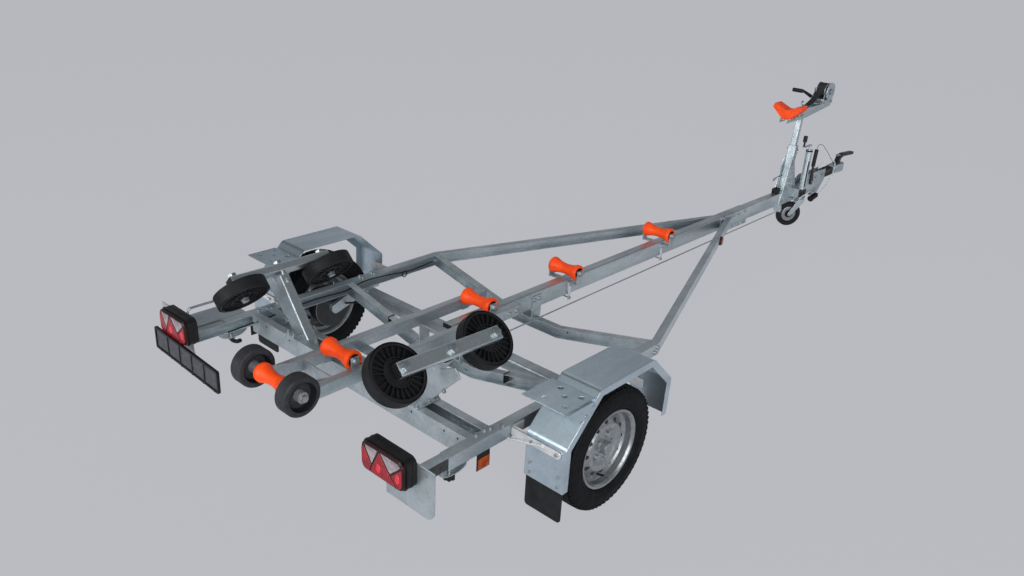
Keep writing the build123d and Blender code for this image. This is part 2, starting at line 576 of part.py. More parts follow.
# the rear roller and its two wheels turn on one axle, held by two arms at the ends of the keel rails
REAR_ARM_Y = KEEL_RAIL_INNER
with BuildPart() as rear_roller_arms:
    with BuildSketch(Plane.XZ.offset(-REAR_WHEEL_Y - 50)):
        with Locations((REAR_ROLLER_X, REAR_ROLLER_Z)):
            Circle(KEEL_AXLE_DIAMETER / 2)
    extrude(amount=2 * (REAR_WHEEL_Y + 50))
    for side in SIDES:
        with BuildSketch(Plane.XZ.offset(-side * (REAR_ARM_Y - 4))):
            with Locations((REAR_ROLLER_X, REAR_ROLLER_Z)):
                Circle(20)
            with Locations((KEEL_RAIL_REAR + 60, KEEL_RAIL_TOP - KEEL_RAIL_HEIGHT / 2)):
                Rectangle(60, 50)
            make_hull()
        extrude(amount=-side * 4)
pieces["roller_carriers"] = roller_carriers.part + rear_roller_arms.part
pieces["keel_roller_rear"] = Pos(REAR_ROLLER_X, 0, REAR_ROLLER_Z) * keel_roller.part

with BuildPart() as rear_wheel:
    with BuildSketch():
        half = REAR_WHEEL_WIDTH / 2
        rim = REAR_WHEEL_DIAMETER / 2
        bore = KEEL_AXLE_DIAMETER / 2 + RUNNING
        with BuildLine():
            Polyline((bore, -half), (24, -half), (26, -8), (rim - 30, -8), (rim - 24, -half + 3),
                     (rim - 6, -half + 4), (rim, -half + 10), (rim, half - 10), (rim - 6, half - 4),
                     (rim - 24, half - 3), (rim - 30, 8), (26, 8), (24, half), (bore, half), close=True)
        make_face()
    revolve(axis=Axis.Y)
with BuildPart() as rear_roller_wheels:
    for side in SIDES:
        add(Pos(REAR_ROLLER_X, side * REAR_WHEEL_Y, REAR_ROLLER_Z) * rear_wheel.part)
pieces["rear_roller_wheels"] = rear_roller_wheels.part

# ---------------------------------------------------------------- side bogies
def bogie_plane(side):
    """Wheel centre plane of one bogie: x along the beam, y out along the wheels' axles."""
    tilt, slope = radians(BOGIE_TILT) * side, radians(BOGIE_SLOPE[side])
    along = Vector(cos(slope), sin(slope) * sin(tilt), -sin(slope) * cos(tilt))
    across = Vector(0, cos(tilt), sin(tilt))
    return Plane(origin=(BOGIE_X, side * BOGIE_Y, BOGIE_Z[side]), x_dir=along, z_dir=along.cross(across))


# a rubber tread on a rim of radial fins between the tread's inner ring and the hub ring
with BuildPart() as bogie_wheel:
    half = BOGIE_WHEEL_WIDTH / 2
    rim = BOGIE_WHEEL_DIAMETER / 2
    hub = BOGIE_HUB_DIAMETER / 2
    ring = rim - 10
    web = 4
    with BuildSketch():
        bore = BOGIE_PIN_DIAMETER / 2 + RUNNING
        with BuildLine():
            Polyline((bore, -half), (24, -half), (24, -half + 12), (hub - 8, -half + 12), (hub - 8, -half + 5),
                     (hub, -half + 5), (hub, -web), (ring, -web), (ring, -half), (rim - 6, -half),
                     (rim, 10 - half), (rim, half - 10), (rim - 6, half), (ring, half), (ring, web),
                     (hub, web), (hub, half - 5), (hub - 8, half - 5), (hub - 8, half - 12),
                     (24, half - 12), (24, half), (bore, half), close=True)
        make_face()
    revolve(axis=Axis.Y)
    with BuildSketch(Plane.XZ.offset(-half + 5)):
        with PolarLocations((hub + ring) / 2, BOGIE_FIN_COUNT):
            Rectangle(ring - hub + 4, BOGIE_FIN_THICKNESS)
    extrude(amount=BOGIE_WHEEL_WIDTH - 10)

BOGIE_GUSSET = 6
posts = {}
for side in SIDES:
    plane = bogie_plane(side)
    with BuildPart() as bogie_beam:
        with BuildSketch(Plane.YZ.offset(-BOGIE_BEAM_LENGTH / 2)):
            with Locations((side * BOGIE_BEAM_OFFSET, 0)):
                RectangleRounded(BOGIE_BEAM_WIDTH, BOGIE_BEAM_HEIGHT, 2 * TUBE_WALL)
                RectangleRounded(BOGIE_BEAM_WIDTH - 2 * TUBE_WALL, BOGIE_BEAM_HEIGHT - 2 * TUBE_WALL,
                                 TUBE_WALL, mode=Mode.SUBTRACT)
        extrude(amount=BOGIE_BEAM_LENGTH)
        with BuildSketch(Plane.XZ.offset(-side * (BOGIE_BEAM_OFFSET + BOGIE_BEAM_WIDTH / 2 + 14))):
            with Locations((-BOGIE_WHEEL_SPACING / 2, 0), (BOGIE_WHEEL_SPACING / 2, 0)):
                Circle(BOGIE_PIN_DIAMETER / 2)
        extrude(amount=side * (BOGIE_BEAM_OFFSET + BOGIE_BEAM_WIDTH / 2 + BOGIE_WHEEL_WIDTH / 2 + 26))
        with BuildSketch(Plane.XZ.offset(-side * (BOGIE_WHEEL_WIDTH / 2 + 2))):
            with Locations((-BOGIE_WHEEL_SPACING / 2, 0), (BOGIE_WHEEL_SPACING / 2, 0)):
                Circle(16)
        extrude(amount=-side * (BOGIE_BEAM_OFFSET - BOGIE_BEAM_WIDTH / 2 - BOGIE_WHEEL_WIDTH / 2))
        with BuildSketch(Plane.XZ.offset(-side * 20)):
            Circle(BOGIE_PIN_DIAMETER / 2 + RUNNING)
        extrude(amount=-side * 80, mode=Mode.SUBTRACT)
    pieces[f"bogie_beam_{SIDE_NAMES[side]}"] = plane.location * bogie_beam.part
    for place, along in (("front", 1), ("rear", -1)):
        wheel = Pos(along * BOGIE_WHEEL_SPACING / 2, 0, 0) * bogie_wheel.part
        pieces[f"bogie_wheel_{SIDE_NAMES[side]}_{place}"] = plane.location * wheel

    # the post leans outwards from between the rear channels up to the pivot, short of the beam's sweep
    beam_face = BOGIE_BEAM_OFFSET - BOGIE_BEAM_WIDTH / 2
    foot = Vector(REAR_CROSS_X, side * BOGIE_POST_FOOT_Y, RAIL_BOTTOM - 18)
    pivot = plane.from_local_coords(Vector(0, side * (beam_face - 14), -9))
    head = Vector(REAR_CROSS_X, pivot.Y, pivot.Z)
    up = (head - foot).normalized()
    with BuildPart() as bogie_post:
        with BuildSketch(Plane(origin=foot, x_dir=(1, 0, 0), z_dir=up)):
            RectangleRounded(BOGIE_POST_SIZE, BOGIE_POST_SIZE, 6)
            RectangleRounded(BOGIE_POST_SIZE - 2 * TUBE_WALL, BOGIE_POST_SIZE - 2 * TUBE_WALL, 3,
                             mode=Mode.SUBTRACT)
        extrude(amount=(head - foot).length)
        # gusset from the clamp to below the beam, on the post's rear face, and a clamp bar on the channels
        with BuildSketch(Plane.YZ.offset(REAR_CROSS_X - BOGIE_POST_SIZE / 2)):
            Polygon((side * 356, RAIL_TOP + 6), (side * 460, RAIL_TOP + 6), (side * 672, 666), (side * 640, 700),
                    (side * 540, 655), align=None)
        extrude(amount=BOGIE_GUSSET)
        add(side_box(REAR_CHANNELS[0][0], REAR_CHANNELS[1][0] + CROSS_DEPTH, 396, 468, RAIL_TOP,
                     RAIL_TOP + 6, side))
    # pivot sleeve, pin and nut, each along the wheels' axle direction: inner end, outer end, radius
    beam_outer = BOGIE_BEAM_OFFSET + BOGIE_BEAM_WIDTH / 2
    fittings = [plane.location * (Pos(0, side * (start + end) / 2, 0) * Rot(90, 0, 0) * Cylinder(radius, end - start))
                for start, end, radius in ((-16, beam_face - 5, 15),
                                           (-20, beam_outer + 16, BOGIE_PIN_DIAMETER / 2),
                                           (beam_outer + 2, beam_outer + 12, 17))]
    posts[side] = bogie_post.part + fittings
pieces["bogie_posts"] = posts[1] + posts[-1]

# ---------------------------------------------------------------- light booms and lamps
BRACKET_OUTER = RAIL_OUTER + 148
BRACKET_INNER = RAIL_OUTER - 110
BRACKET_BOTTOM, BRACKET_TOP = 347, 556
SHELF_FRONT = -565
SHELF_INNER, SHELF_OUTER = RAIL_OUTER + 6, RAIL_OUTER + 145
for side in SIDES:
    with BuildPart() as light_boom:
        boom = (RAIL_INNER + SNUG, RAIL_OUTER - SECTION_WALL - SNUG, RAIL_BOTTOM + SECTION_WALL + SNUG,
                RAIL_TOP - SECTION_WALL - SNUG)
        add(side_box(BOOM_REAR, BOOM_FRONT, *boom, side))
        add(side_box(BOOM_REAR, BOOM_FRONT, boom[0] - 1, boom[1] - 3, boom[2] + 3, boom[3] - 3, side),
            mode=Mode.SUBTRACT)
        # upright plate behind the lamp, rounded at its outer lower corner
        with BuildSketch(Plane.YZ.offset(BOOM_REAR - BOOM_PLATE)) as bracket:
            with Locations((side * (BRACKET_INNER + BRACKET_OUTER) / 2, (BRACKET_BOTTOM + BRACKET_TOP) / 2)):
                Rectangle(BRACKET_OUTER - BRACKET_INNER, BRACKET_TOP - BRACKET_BOTTOM)
            fillet(bracket.vertices().group_by(Axis.Y)[0].sort_by(Axis.X)[-1 if side > 0 else 0], 45)
        extrude(amount=BOOM_PLATE)
        if side > 0:
            # the left plate carries a broad shelf with a lip along its inner edge
            add(side_box(BOOM_REAR, SHELF_FRONT, SHELF_INNER, SHELF_OUTER, RAIL_TOP - 3, RAIL_TOP, side))
            add(side_box(BOOM_REAR, SHELF_FRONT, SHELF_INNER, SHELF_INNER + 3, RAIL_TOP - 20, RAIL_TOP, side))
    pieces[f"light_boom_{SIDE_NAMES[side]}"] = light_boom.part
    with BuildPart() as lamp:
        with BuildSketch(Plane.YZ.offset(BOOM_REAR - BOOM_PLATE)):
            with Locations((side * LAMP_Y, LAMP_Z)):
                RectangleRounded(LAMP_WIDTH, LAMP_HEIGHT, LAMP_CORNER)
        extrude(amount=-LAMP_DEPTH)
    pieces[f"lamp_{SIDE_NAMES[side]}"] = lamp.part
    with BuildPart() as lens:
        with BuildSketch(Plane.YZ.offset(BOOM_REAR - BOOM_PLATE - LAMP_DEPTH)):
            with Locations((side * LAMP_Y, LAMP_Z)):
                RectangleRounded(LAMP_WIDTH - 8, LAMP_HEIGHT - 8, LAMP_CORNER - 4)
        extrude(amount=-LAMP_LENS_DEPTH)
        chamfer(lens.faces().sort_by(Axis.X)[0].edges(), 5)
    pieces[f"lamp_lens_{SIDE_NAMES[side]}"] = lens.part

# the number-plate holder hangs by two straps from the left lamp's lower edge, in line with its lens
PLATE_HOLDER_X = BOOM_REAR - BOOM_PLATE - LAMP_DEPTH - LAMP_LENS_DEPTH - HOLDER_THICKNESS - 1
LAMP_BOTTOM = LAMP_Z - LAMP_HEIGHT / 2
holder_plane = Plane(origin=(PLATE_HOLDER_X, HOLDER_Y, HOLDER_Z), z_dir=(1, 0, 0),
                     x_dir=(0, cos(radians(HOLDER_TILT)), sin(radians(HOLDER_TILT))))
with BuildPart() as plate_holder:
    with BuildSketch(holder_plane):
        RectangleRounded(HOLDER_WIDTH, HOLDER_HEIGHT, 8)
    extrude(amount=HOLDER_THICKNESS)
    for strap_y in (LAMP_Y - 50, LAMP_Y + 50):
        add(side_box(PLATE_HOLDER_X + HOLDER_THICKNESS, BOOM_REAR - BOOM_PLATE, strap_y - 12, strap_y + 12,
                     LAMP_BOTTOM - 9, LAMP_BOTTOM - 5, 1))
pieces["number_plate_holder"] = plate_holder.part
# ---------------------------------------------------------------- winch post, bow stop and winch
POST_PLATES = ((3490, DRAWBAR_BOTTOM), (HOUSING_REAR - 6, DRAWBAR_BOTTOM), (3625, 735), (3588, 735), (3530, 505))
post_plane = Plane(origin=(POST_X, 0, DRAWBAR_TOP), x_dir=(cos(radians(POST_LEAN)), 0, -sin(radians(POST_LEAN))),
                   z_dir=(sin(radians(POST_LEAN)), 0, cos(radians(POST_LEAN))))
POST_SLEEVE_END = (POST_SLEEVE_TOP - DRAWBAR_TOP) / cos(radians(POST_LEAN))
with BuildPart() as winch_post:
    with BuildSketch(post_plane):
        RectangleRounded(POST_SLEEVE_X, DRAWBAR_WIDTH, 6)
        RectangleRounded(POST_SLEEVE_X - 2 * POST_WALL, DRAWBAR_WIDTH - 2 * POST_WALL, 2, mode=Mode.SUBTRACT)
    extrude(amount=POST_SLEEVE_END)
    with BuildSketch(post_plane.offset(150)):
        RectangleRounded(POST_SIZE, POST_SIZE, 5)
        RectangleRounded(POST_SIZE - 2 * POST_WALL, POST_SIZE - 2 * POST_WALL, 2, mode=Mode.SUBTRACT)
    extrude(amount=ARM_TOP - DRAWBAR_TOP - 150)
    with BuildSketch(post_plane.offset(POST_SLEEVE_END - POST_WALL)):
        Rectangle(POST_SLEEVE_X, DRAWBAR_WIDTH)
        Rectangle(POST_SIZE - 2 * POST_WALL, POST_SIZE - 2 * POST_WALL, mode=Mode.SUBTRACT)
    extrude(amount=POST_WALL)
    # the post is cut level under the arm and above the drawbar
    split(bisect_by=Plane.XY.offset(ARM_TOP - ARM_WALL), keep=Keep.BOTTOM)
    split(bisect_by=Plane.XY.offset(DRAWBAR_TOP), keep=Keep.TOP)
    for side in SIDES:
        with BuildSketch(Plane.XZ.offset(-side * DRAWBAR_WIDTH / 2)):
            Polygon(*POST_PLATES, align=None)
        extrude(amount=-side * PLATE)
pieces["winch_post"] = winch_post.part

# one folded channel: low behind the post, under the bow stop, and tapering forward under the winch
ARM_REAR = BOW_STOP_X - BOW_STOP_LENGTH / 2 - 30


def arm_outline(drop, run):
    """Side view of the channel, lowered by drop and lengthened by run at both ends."""
    return ((ARM_REAR - run, BOW_STOP_Z - 28 - drop), (ARM_REAR - run, BOW_STOP_Z - drop),
            (3575 + drop, BOW_STOP_Z - drop), (3592 + drop, ARM_TOP - drop), (ARM_FRONT + run, ARM_TOP - drop),
            (ARM_FRONT + run, 1072 - 2 * drop), (3690, 1026 - 2 * drop))


with BuildPart() as winch_arm:
    with BuildSketch(Plane.XZ.offset(-ARM_WIDTH / 2)):
        Polygon(*arm_outline(0, 0), align=None)
    extrude(amount=ARM_WIDTH)
    with BuildSketch(Plane.XZ.offset(-ARM_WIDTH / 2 + ARM_WALL)):
        Polygon(*arm_outline(ARM_WALL, 1), align=None)
    extrude(amount=ARM_WIDTH - 2 * ARM_WALL, mode=Mode.SUBTRACT)

with BuildPart() as bow_stop:
    with BuildSketch(Plane.YZ.offset(BOW_STOP_X - BOW_STOP_LENGTH / 2)):
        Polygon((-100, BOW_STOP_Z + 101), (-14, BOW_STOP_Z + 63), (14, BOW_STOP_Z + 63), (100, BOW_STOP_Z + 101),
                (112, BOW_STOP_Z + 72), (34, BOW_STOP_Z), (-34, BOW_STOP_Z), (-112, BOW_STOP_Z + 72), align=None)
    extrude(amount=BOW_STOP_LENGTH)
    fillet(bow_stop.edges().filter_by(Axis.X), 5)
pieces["bow_stop"] = bow_stop.part

CRANK_X, CRANK_Z = WINCH_X - 64, DRUM_Z - 46
CHEEK_REAR, CHEEK_FRONT = WINCH_X - 78, WINCH_X + 85
CRANK_SHAFT_RADIUS = 9
DRUM_SHAFT_RADIUS = 10
with BuildPart() as winch_frame:
    for side in SIDES:
        with BuildSketch(Plane.XZ.offset(-side * DRUM_Y)):
            Polygon((CHEEK_REAR, ARM_TOP), (CHEEK_FRONT, ARM_TOP), (CHEEK_FRONT, ARM_TOP + 50),
                    (WINCH_X + 30, DRUM_Z + 30), (WINCH_X - 30, DRUM_Z + 30), (CHEEK_REAR, CRANK_Z + 16),
                    align=None)
            with Locations((WINCH_X, DRUM_Z)):
                Circle(DRUM_SHAFT_RADIUS + RUNNING, mode=Mode.SUBTRACT)
            with Locations((CRANK_X, CRANK_Z)):
                Circle(CRANK_SHAFT_RADIUS + RUNNING, mode=Mode.SUBTRACT)
        extrude(amount=-side * ARM_WALL)
    add(side_box(CHEEK_REAR, CHEEK_FRONT, -DRUM_Y, DRUM_Y, ARM_TOP, ARM_TOP + ARM_WALL, 1))
pieces["winch_arm"] = winch_arm.part + winch_frame.part

with BuildPart() as winch_drum:
    with BuildSketch():
        with BuildLine():
            flange = DRUM_Y - 6
            Polyline((0, -DRUM_Y - 22), (DRUM_SHAFT_RADIUS, -DRUM_Y - 22), (DRUM_SHAFT_RADIUS, -flange),
                     (DRUM_FLANGE_RADIUS, -flange), (DRUM_FLANGE_RADIUS, 4 - flange), (DRUM_RADIUS, 4 - flange),
                     (DRUM_RADIUS, flange - 4), (DRUM_FLANGE_RADIUS, flange - 4), (DRUM_FLANGE_RADIUS, flange),
                     (DRUM_SHAFT_RADIUS, flange), (DRUM_SHAFT_RADIUS, DRUM_Y + 12), (0, DRUM_Y + 12), close=True)
        make_face()
    revolve(axis=Axis.Y)
    with BuildSketch(Plane.XZ.offset(DRUM_Y + 9)):
        Circle(GEAR_RADIUS)
    extrude(amount=8)
pieces["winch_drum"] = Pos(WINCH_X, 0, DRUM_Z) * winch_drum.part

# the crank arm leans back and a little up
GRIP_X, GRIP_Z = CRANK_X - CRANK_ARM_LENGTH * 0.94, CRANK_Z + CRANK_ARM_LENGTH * 0.34
GRIP_LENGTH = 85
with BuildPart() as winch_crank:
    with BuildSketch(Plane.XZ.offset(DRUM_Y + 18)):
        with Locations((CRANK_X, CRANK_Z)):
            Circle(CRANK_SHAFT_RADIUS)
    extrude(amount=-2 * DRUM_Y - 38)
    with BuildSketch(Plane.XZ.offset(-DRUM_Y - 20)):
        with Locations((CRANK_X, CRANK_Z)):
            Circle(CRANK_SHAFT_RADIUS + 4)
        with Locations((GRIP_X, GRIP_Z)):
            Circle(9)
        make_hull()
    extrude(amount=-7)
    with BuildSketch(Plane.XZ.offset(-DRUM_Y - 27)):
        with Locations((GRIP_X, GRIP_Z)):
            Circle(12)
    extrude(amount=-GRIP_LENGTH)
pieces["winch_crank"] = winch_crank.part

# ---------------------------------------------------------------- overrun coupling and handbrake
HOUSING_Y = DRAWBAR_WIDTH / 2
HOUSING_SIDE = ((HOUSING_REAR, DRAWBAR_BOTTOM), (3990, DRAWBAR_BOTTOM), (4060, 354), (4180, 354),
                (HOUSING_FRONT, 450), (HOUSING_FRONT, 538), (3920, 540), (HOUSING_REAR, DRAWBAR_TOP))
TUBE_RADIUS = 25
with BuildPart() as coupling_housing:
    for side in SIDES:
        with BuildSketch(Plane.XZ.offset(-side * HOUSING_Y)):
            Polygon(*HOUSING_SIDE, align=None)
        extrude(amount=-side * PLATE)
    with BuildSketch(Plane.YZ.offset(DRAWBAR_FRONT + 10)):
        with Locations((0, COUPLING_AXIS_Z)):
            Circle(HOUSING_Y)
            Circle(TUBE_RADIUS + RUNNING, mode=Mode.SUBTRACT)
    extrude(amount=HOUSING_FRONT - DRAWBAR_FRONT - 10)
pieces["coupling_housing"] = coupling_housing.part

with BuildPart() as coupling_bellows:
    with BuildSketch():
        pitch = BELLOWS_LENGTH / BELLOWS_FOLDS
        outline = [(TUBE_RADIUS + 1, 0)]
        for fold in range(BELLOWS_FOLDS):
            outline += [(32, fold * pitch), (41, (fold + 0.5) * pitch)]
        outline += [(32, BELLOWS_LENGTH), (TUBE_RADIUS + 1, BELLOWS_LENGTH)]
        Polygon(*outline, align=None)
    revolve(axis=Axis.Y)
turned = Pos(HOUSING_FRONT, 0, COUPLING_AXIS_Z) * Rot(0, 0, -90)
pieces["coupling_bellows"] = turned * coupling_bellows.part

HEAD_REAR = HOUSING_FRONT + BELLOWS_LENGTH
HEAD_HEIGHT = 66
HEAD_TOP = COUPLING_AXIS_Z + 38
SOCKET_RADIUS = BALL_DIAMETER / 2 + 0.5
with BuildPart() as coupling_head:
    with BuildSketch(Plane.YZ.offset(DRAWBAR_FRONT + 12)):
        with Locations((0, COUPLING_AXIS_Z)):
            Circle(TUBE_RADIUS)
    extrude(amount=HEAD_REAR + 60 - DRAWBAR_FRONT)
    with BuildSketch(Plane.XY.offset(HEAD_TOP - HEAD_HEIGHT)):
        with Locations((HEAD_REAR + 40, 0)):
            Rectangle(60, 66)
        with Locations((COUPLING_HEAD_X, 0)):
            Circle(42)
        make_hull()
    extrude(amount=HEAD_HEIGHT)
    fillet(coupling_head.faces().sort_by(Axis.Z)[-1].edges(), 10)
    with Locations((COUPLING_HEAD_X, 0, COUPLING_AXIS_Z - 18)):
        Sphere(SOCKET_RADIUS, mode=Mode.SUBTRACT)
        with Locations((0, 0, -15)):
            Cylinder(SOCKET_RADIUS, 30, mode=Mode.SUBTRACT)

with BuildPart() as coupling_handle:
    with BuildSketch(Plane.XZ.offset(-17)):
        with BuildLine():
            FilletPolyline((4540, HEAD_TOP), (4575, HEAD_TOP + 62), (4640, HEAD_TOP + 74), (4860, HEAD_TOP + 58),
                           (4860, HEAD_TOP + 34), (4650, HEAD_TOP + 48), (4606, HEAD_TOP + 36),
                           (4596, HEAD_TOP), radius=9)
            Line((4596, HEAD_TOP), (4540, HEAD_TOP))
        make_face()
    extrude(amount=34)
pieces["coupling_handle"] = coupling_handle.part

LEVER_Y = HOUSING_Y + PLATE
LEVER_THICKNESS = 8
GRIP_FOOT = Vector(3992, -LEVER_Y - LEVER_THICKNESS / 2, 604)
GRIP_END = Vector(4003, -LEVER_Y - LEVER_THICKNESS / 2, 739)
with BuildPart() as handbrake_lever:
    with BuildSketch(Plane.XZ.offset(LEVER_Y)):
        with Locations((4015, 478)):
            Circle(26)
        with Locations((GRIP_FOOT.X, GRIP_FOOT.Z + 16)):
            Circle(9)
        make_hull()
    extrude(amount=LEVER_THICKNESS)
    with BuildSketch(Plane(origin=GRIP_FOOT, z_dir=GRIP_END - GRIP_FOOT)):
        Circle(13)
    extrude(amount=(GRIP_END - GRIP_FOOT).length)
pieces["handbrake_lever"] = handbrake_lever.part

# ---------------------------------------------------------------- cords


def cord_tube(points, diameter, name):
    """A round tube along straight runs joined by tangent arcs, each as large as its two runs allow."""
    route = [Vector(*point) for point in points]
    runs = [(end - start).length for start, end in zip(route, route[1:])]
    turns = [(b - a).get_angle(c - b) for a, b, c in zip(route, route[1:], route[2:])]
    radii = [0.45 * min(runs[i], runs[i + 1]) / tan(radians(turn / 2)) for i, turn in enumerate(turns)]
    print(name, "runs", [round(run) for run in runs], "turns", [round(turn) for turn in turns],
          "radii", [round(radius) for radius in radii])
    with BuildPart() as tube:
        with BuildLine() as path:
            FilletPolyline(*route, radius=radii)
        with BuildSketch(Plane(origin=route[0], z_dir=route[1] - route[0])):
            Circle(diameter / 2)
        sweep(path=path.line)
    length = sum(edge.length for edge in path.edges())
    print(name, "length", round(length, 1), "volume share",
          round(tube.part.volume / (length * 3.14159265 * diameter ** 2 / 4), 5))
    return tube.part


# breakaway cable: from the end of the handbrake grip over to a ferrule on the coupling head
WIRE_ROUTE = ((GRIP_END.X, GRIP_END.Y, GRIP_END.Z), (4004.5, GRIP_END.Y, 755), (4022, GRIP_END.Y, 768),
              (4048, -38, 773), (4084, -37, 768), (4123, -35, 753), (4166, -33, 729), (4213, -31, 702),
              (4261, -30, 673), (4308, -28, 641), (4355, -27.5, 610), (4401, -26.5, 576), (4443, -26, 546))
pieces["breakaway_cable"] = cord_tube(WIRE_ROUTE, WIRE_DIAMETER, "breakaway_cable")
ferrule_start, ferrule_way = Vector(*WIRE_ROUTE[-1]), (Vector(*WIRE_ROUTE[-1]) - Vector(*WIRE_ROUTE[-2])).normalized()
with BuildPart() as ferrule:
    with BuildSketch(Plane(origin=ferrule_start, z_dir=ferrule_way)):
        Circle(WIRE_DIAMETER)
    extrude(amount=46)
pieces["coupling_head"] = coupling_head.part + ferrule.part

# lighting cable: from a gland on the housing's left side over the bellows to the plug hanging on the right
LIGHT_ROUTE = ((4230, HOUSING_Y + PLATE + 14, 470), (4262, 62, 474), (4318, 74, 489), (4378, 70, 523),
               (4420, 47, 562), (4438, 12, 584), (4434, -26, 583), (4409, -54, 555), (4361, -70, 507),
               (4306, -74, 452), (4245, -72, 407), (4181, -70, 374), (4116, -68, 362))
pieces["light_cable"] = cord_tube(LIGHT_ROUTE, LIGHT_CABLE_DIAMETER, "light_cable")
gland_face, gland_way = Vector(*LIGHT_ROUTE[0]), (Vector(*LIGHT_ROUTE[1]) - Vector(*LIGHT_ROUTE[0])).normalized()
with BuildPart() as light_gland:
    with BuildSketch(Plane(origin=gland_face, z_dir=gland_way * -1)):
        Circle(LIGHT_CABLE_DIAMETER)
    extrude(amount=40)
    split(bisect_by=Plane.XZ.offset(-HOUSING_Y - PLATE), keep=Keep.BOTTOM)
pieces["light_gland"] = light_gland.part
plug_face, plug_way = Vector(*LIGHT_ROUTE[-1]), (Vector(*LIGHT_ROUTE[-1]) - Vector(*LIGHT_ROUTE[-2])).normalized()
with BuildPart() as light_plug:
    # boot, ribbed body and wider front ring: distance from the cable's end, length and radius
    for start, length, radius in ((0, 24, 9), (24, 74, PLUG_DIAMETER / 2), (98, 16, PLUG_DIAMETER / 2 + 3)):
        with BuildSketch(Plane(origin=plug_face + plug_way * start, z_dir=plug_way)):
            Circle(radius)
        extrude(amount=length)
pieces["light_plug"] = light_plug.part

# ---------------------------------------------------------------- brake rod
ROD_REAR = Vector(AXLE_TUBE_X + AXLE_TUBE_SIZE / 2 + 6, BRAKE_ROD_Y, BRAKE_ROD_REAR_Z)
ROD_FRONT = Vector(BRAKE_ROD_FRONT_X, BRAKE_ROD_Y, BRAKE_ROD_FRONT_Z)
with BuildPart() as brake_rod:
    with BuildSketch(Plane(origin=ROD_REAR, z_dir=ROD_FRONT - ROD_REAR)):
        Circle(BRAKE_ROD_DIAMETER / 2)
    extrude(amount=(ROD_FRONT - ROD_REAR).length)
    # its lug on the axle tube and its hanger on the drawbar
    add(side_box(ROD_REAR.X - 6, ROD_REAR.X + 2, -BRAKE_ROD_Y - 16, -BRAKE_ROD_Y + 16, BRAKE_ROD_REAR_Z - 16,
                 BRAKE_ROD_REAR_Z + 26, -1))
    add(side_box(ROD_FRONT.X - 40, ROD_FRONT.X - 34, DRAWBAR_WIDTH / 2, -BRAKE_ROD_Y + 12,
                 BRAKE_ROD_FRONT_Z - 12, DRAWBAR_BOTTOM + 30, -1))
pieces["brake_rod"] = brake_rod.part

# ---------------------------------------------------------------- jockey wheel
CLAMP_BOTTOM, CLAMP_TOP = 412, 478
JOCKEY_WALL = 4
with BuildPart() as jockey_tube:
    with BuildSketch(Plane.XY.offset(JOCKEY_TUBE_BOTTOM)):
        with Locations((JOCKEY_X, JOCKEY_Y)):
            Circle(JOCKEY_TUBE_DIAMETER / 2)
    extrude(amount=JOCKEY_TUBE_TOP - JOCKEY_TUBE_BOTTOM)
    with BuildSketch(Plane.XY.offset(CLAMP_BOTTOM)):
        with Locations((JOCKEY_X, JOCKEY_Y)):
            Circle(JOCKEY_TUBE_DIAMETER / 2 + 7)
        with Locations((JOCKEY_X - 16, (JOCKEY_Y - DRAWBAR_WIDTH / 2 - PLATE) / 2)):
            Rectangle(70, -JOCKEY_Y - DRAWBAR_WIDTH / 2 - PLATE)
    extrude(amount=CLAMP_TOP - CLAMP_BOTTOM)
    with BuildSketch(Plane.XY.offset(JOCKEY_TUBE_BOTTOM)):
        with Locations((JOCKEY_X, JOCKEY_Y)):
            Circle(JOCKEY_TUBE_DIAMETER / 2 - JOCKEY_WALL)
    extrude(amount=JOCKEY_TUBE_TOP - JOCKEY_TUBE_BOTTOM, mode=Mode.SUBTRACT)
    # cap, spindle and cranked handle, which stay with the outer tube when the leg swivels
    for start, end, radius in ((JOCKEY_TUBE_TOP, JOCKEY_TUBE_TOP + 6, JOCKEY_TUBE_DIAMETER / 2),
                               (JOCKEY_TUBE_TOP + 6, JOCKEY_TUBE_TOP + 36, 8)):
        with BuildSketch(Plane.XY.offset(start)):
            with Locations((JOCKEY_X, JOCKEY_Y)):
                Circle(radius)
        extrude(amount=end - start)
    with BuildSketch(Plane.XY.offset(JOCKEY_TUBE_TOP + 36)):
        with Locations((JOCKEY_X, JOCKEY_Y)):
            Circle(13)
        with Locations((JOCKEY_X - JOCKEY_CRANK_REACH, JOCKEY_Y)):
            Circle(9)
        make_hull()
    extrude(amount=7)
pieces["jockey_tube"] = jockey_tube.part

with BuildPart() as jockey_knob:
    for start, length, radius in ((43, 38, 7), (81, 44, 15)):
        with BuildSketch(Plane.XY.offset(JOCKEY_TUBE_TOP + start)):
            with Locations((JOCKEY_X - JOCKEY_CRANK_REACH, JOCKEY_Y)):
                Circle(radius)
        extrude(amount=length)
pieces["jockey_knob"] = jockey_knob.part

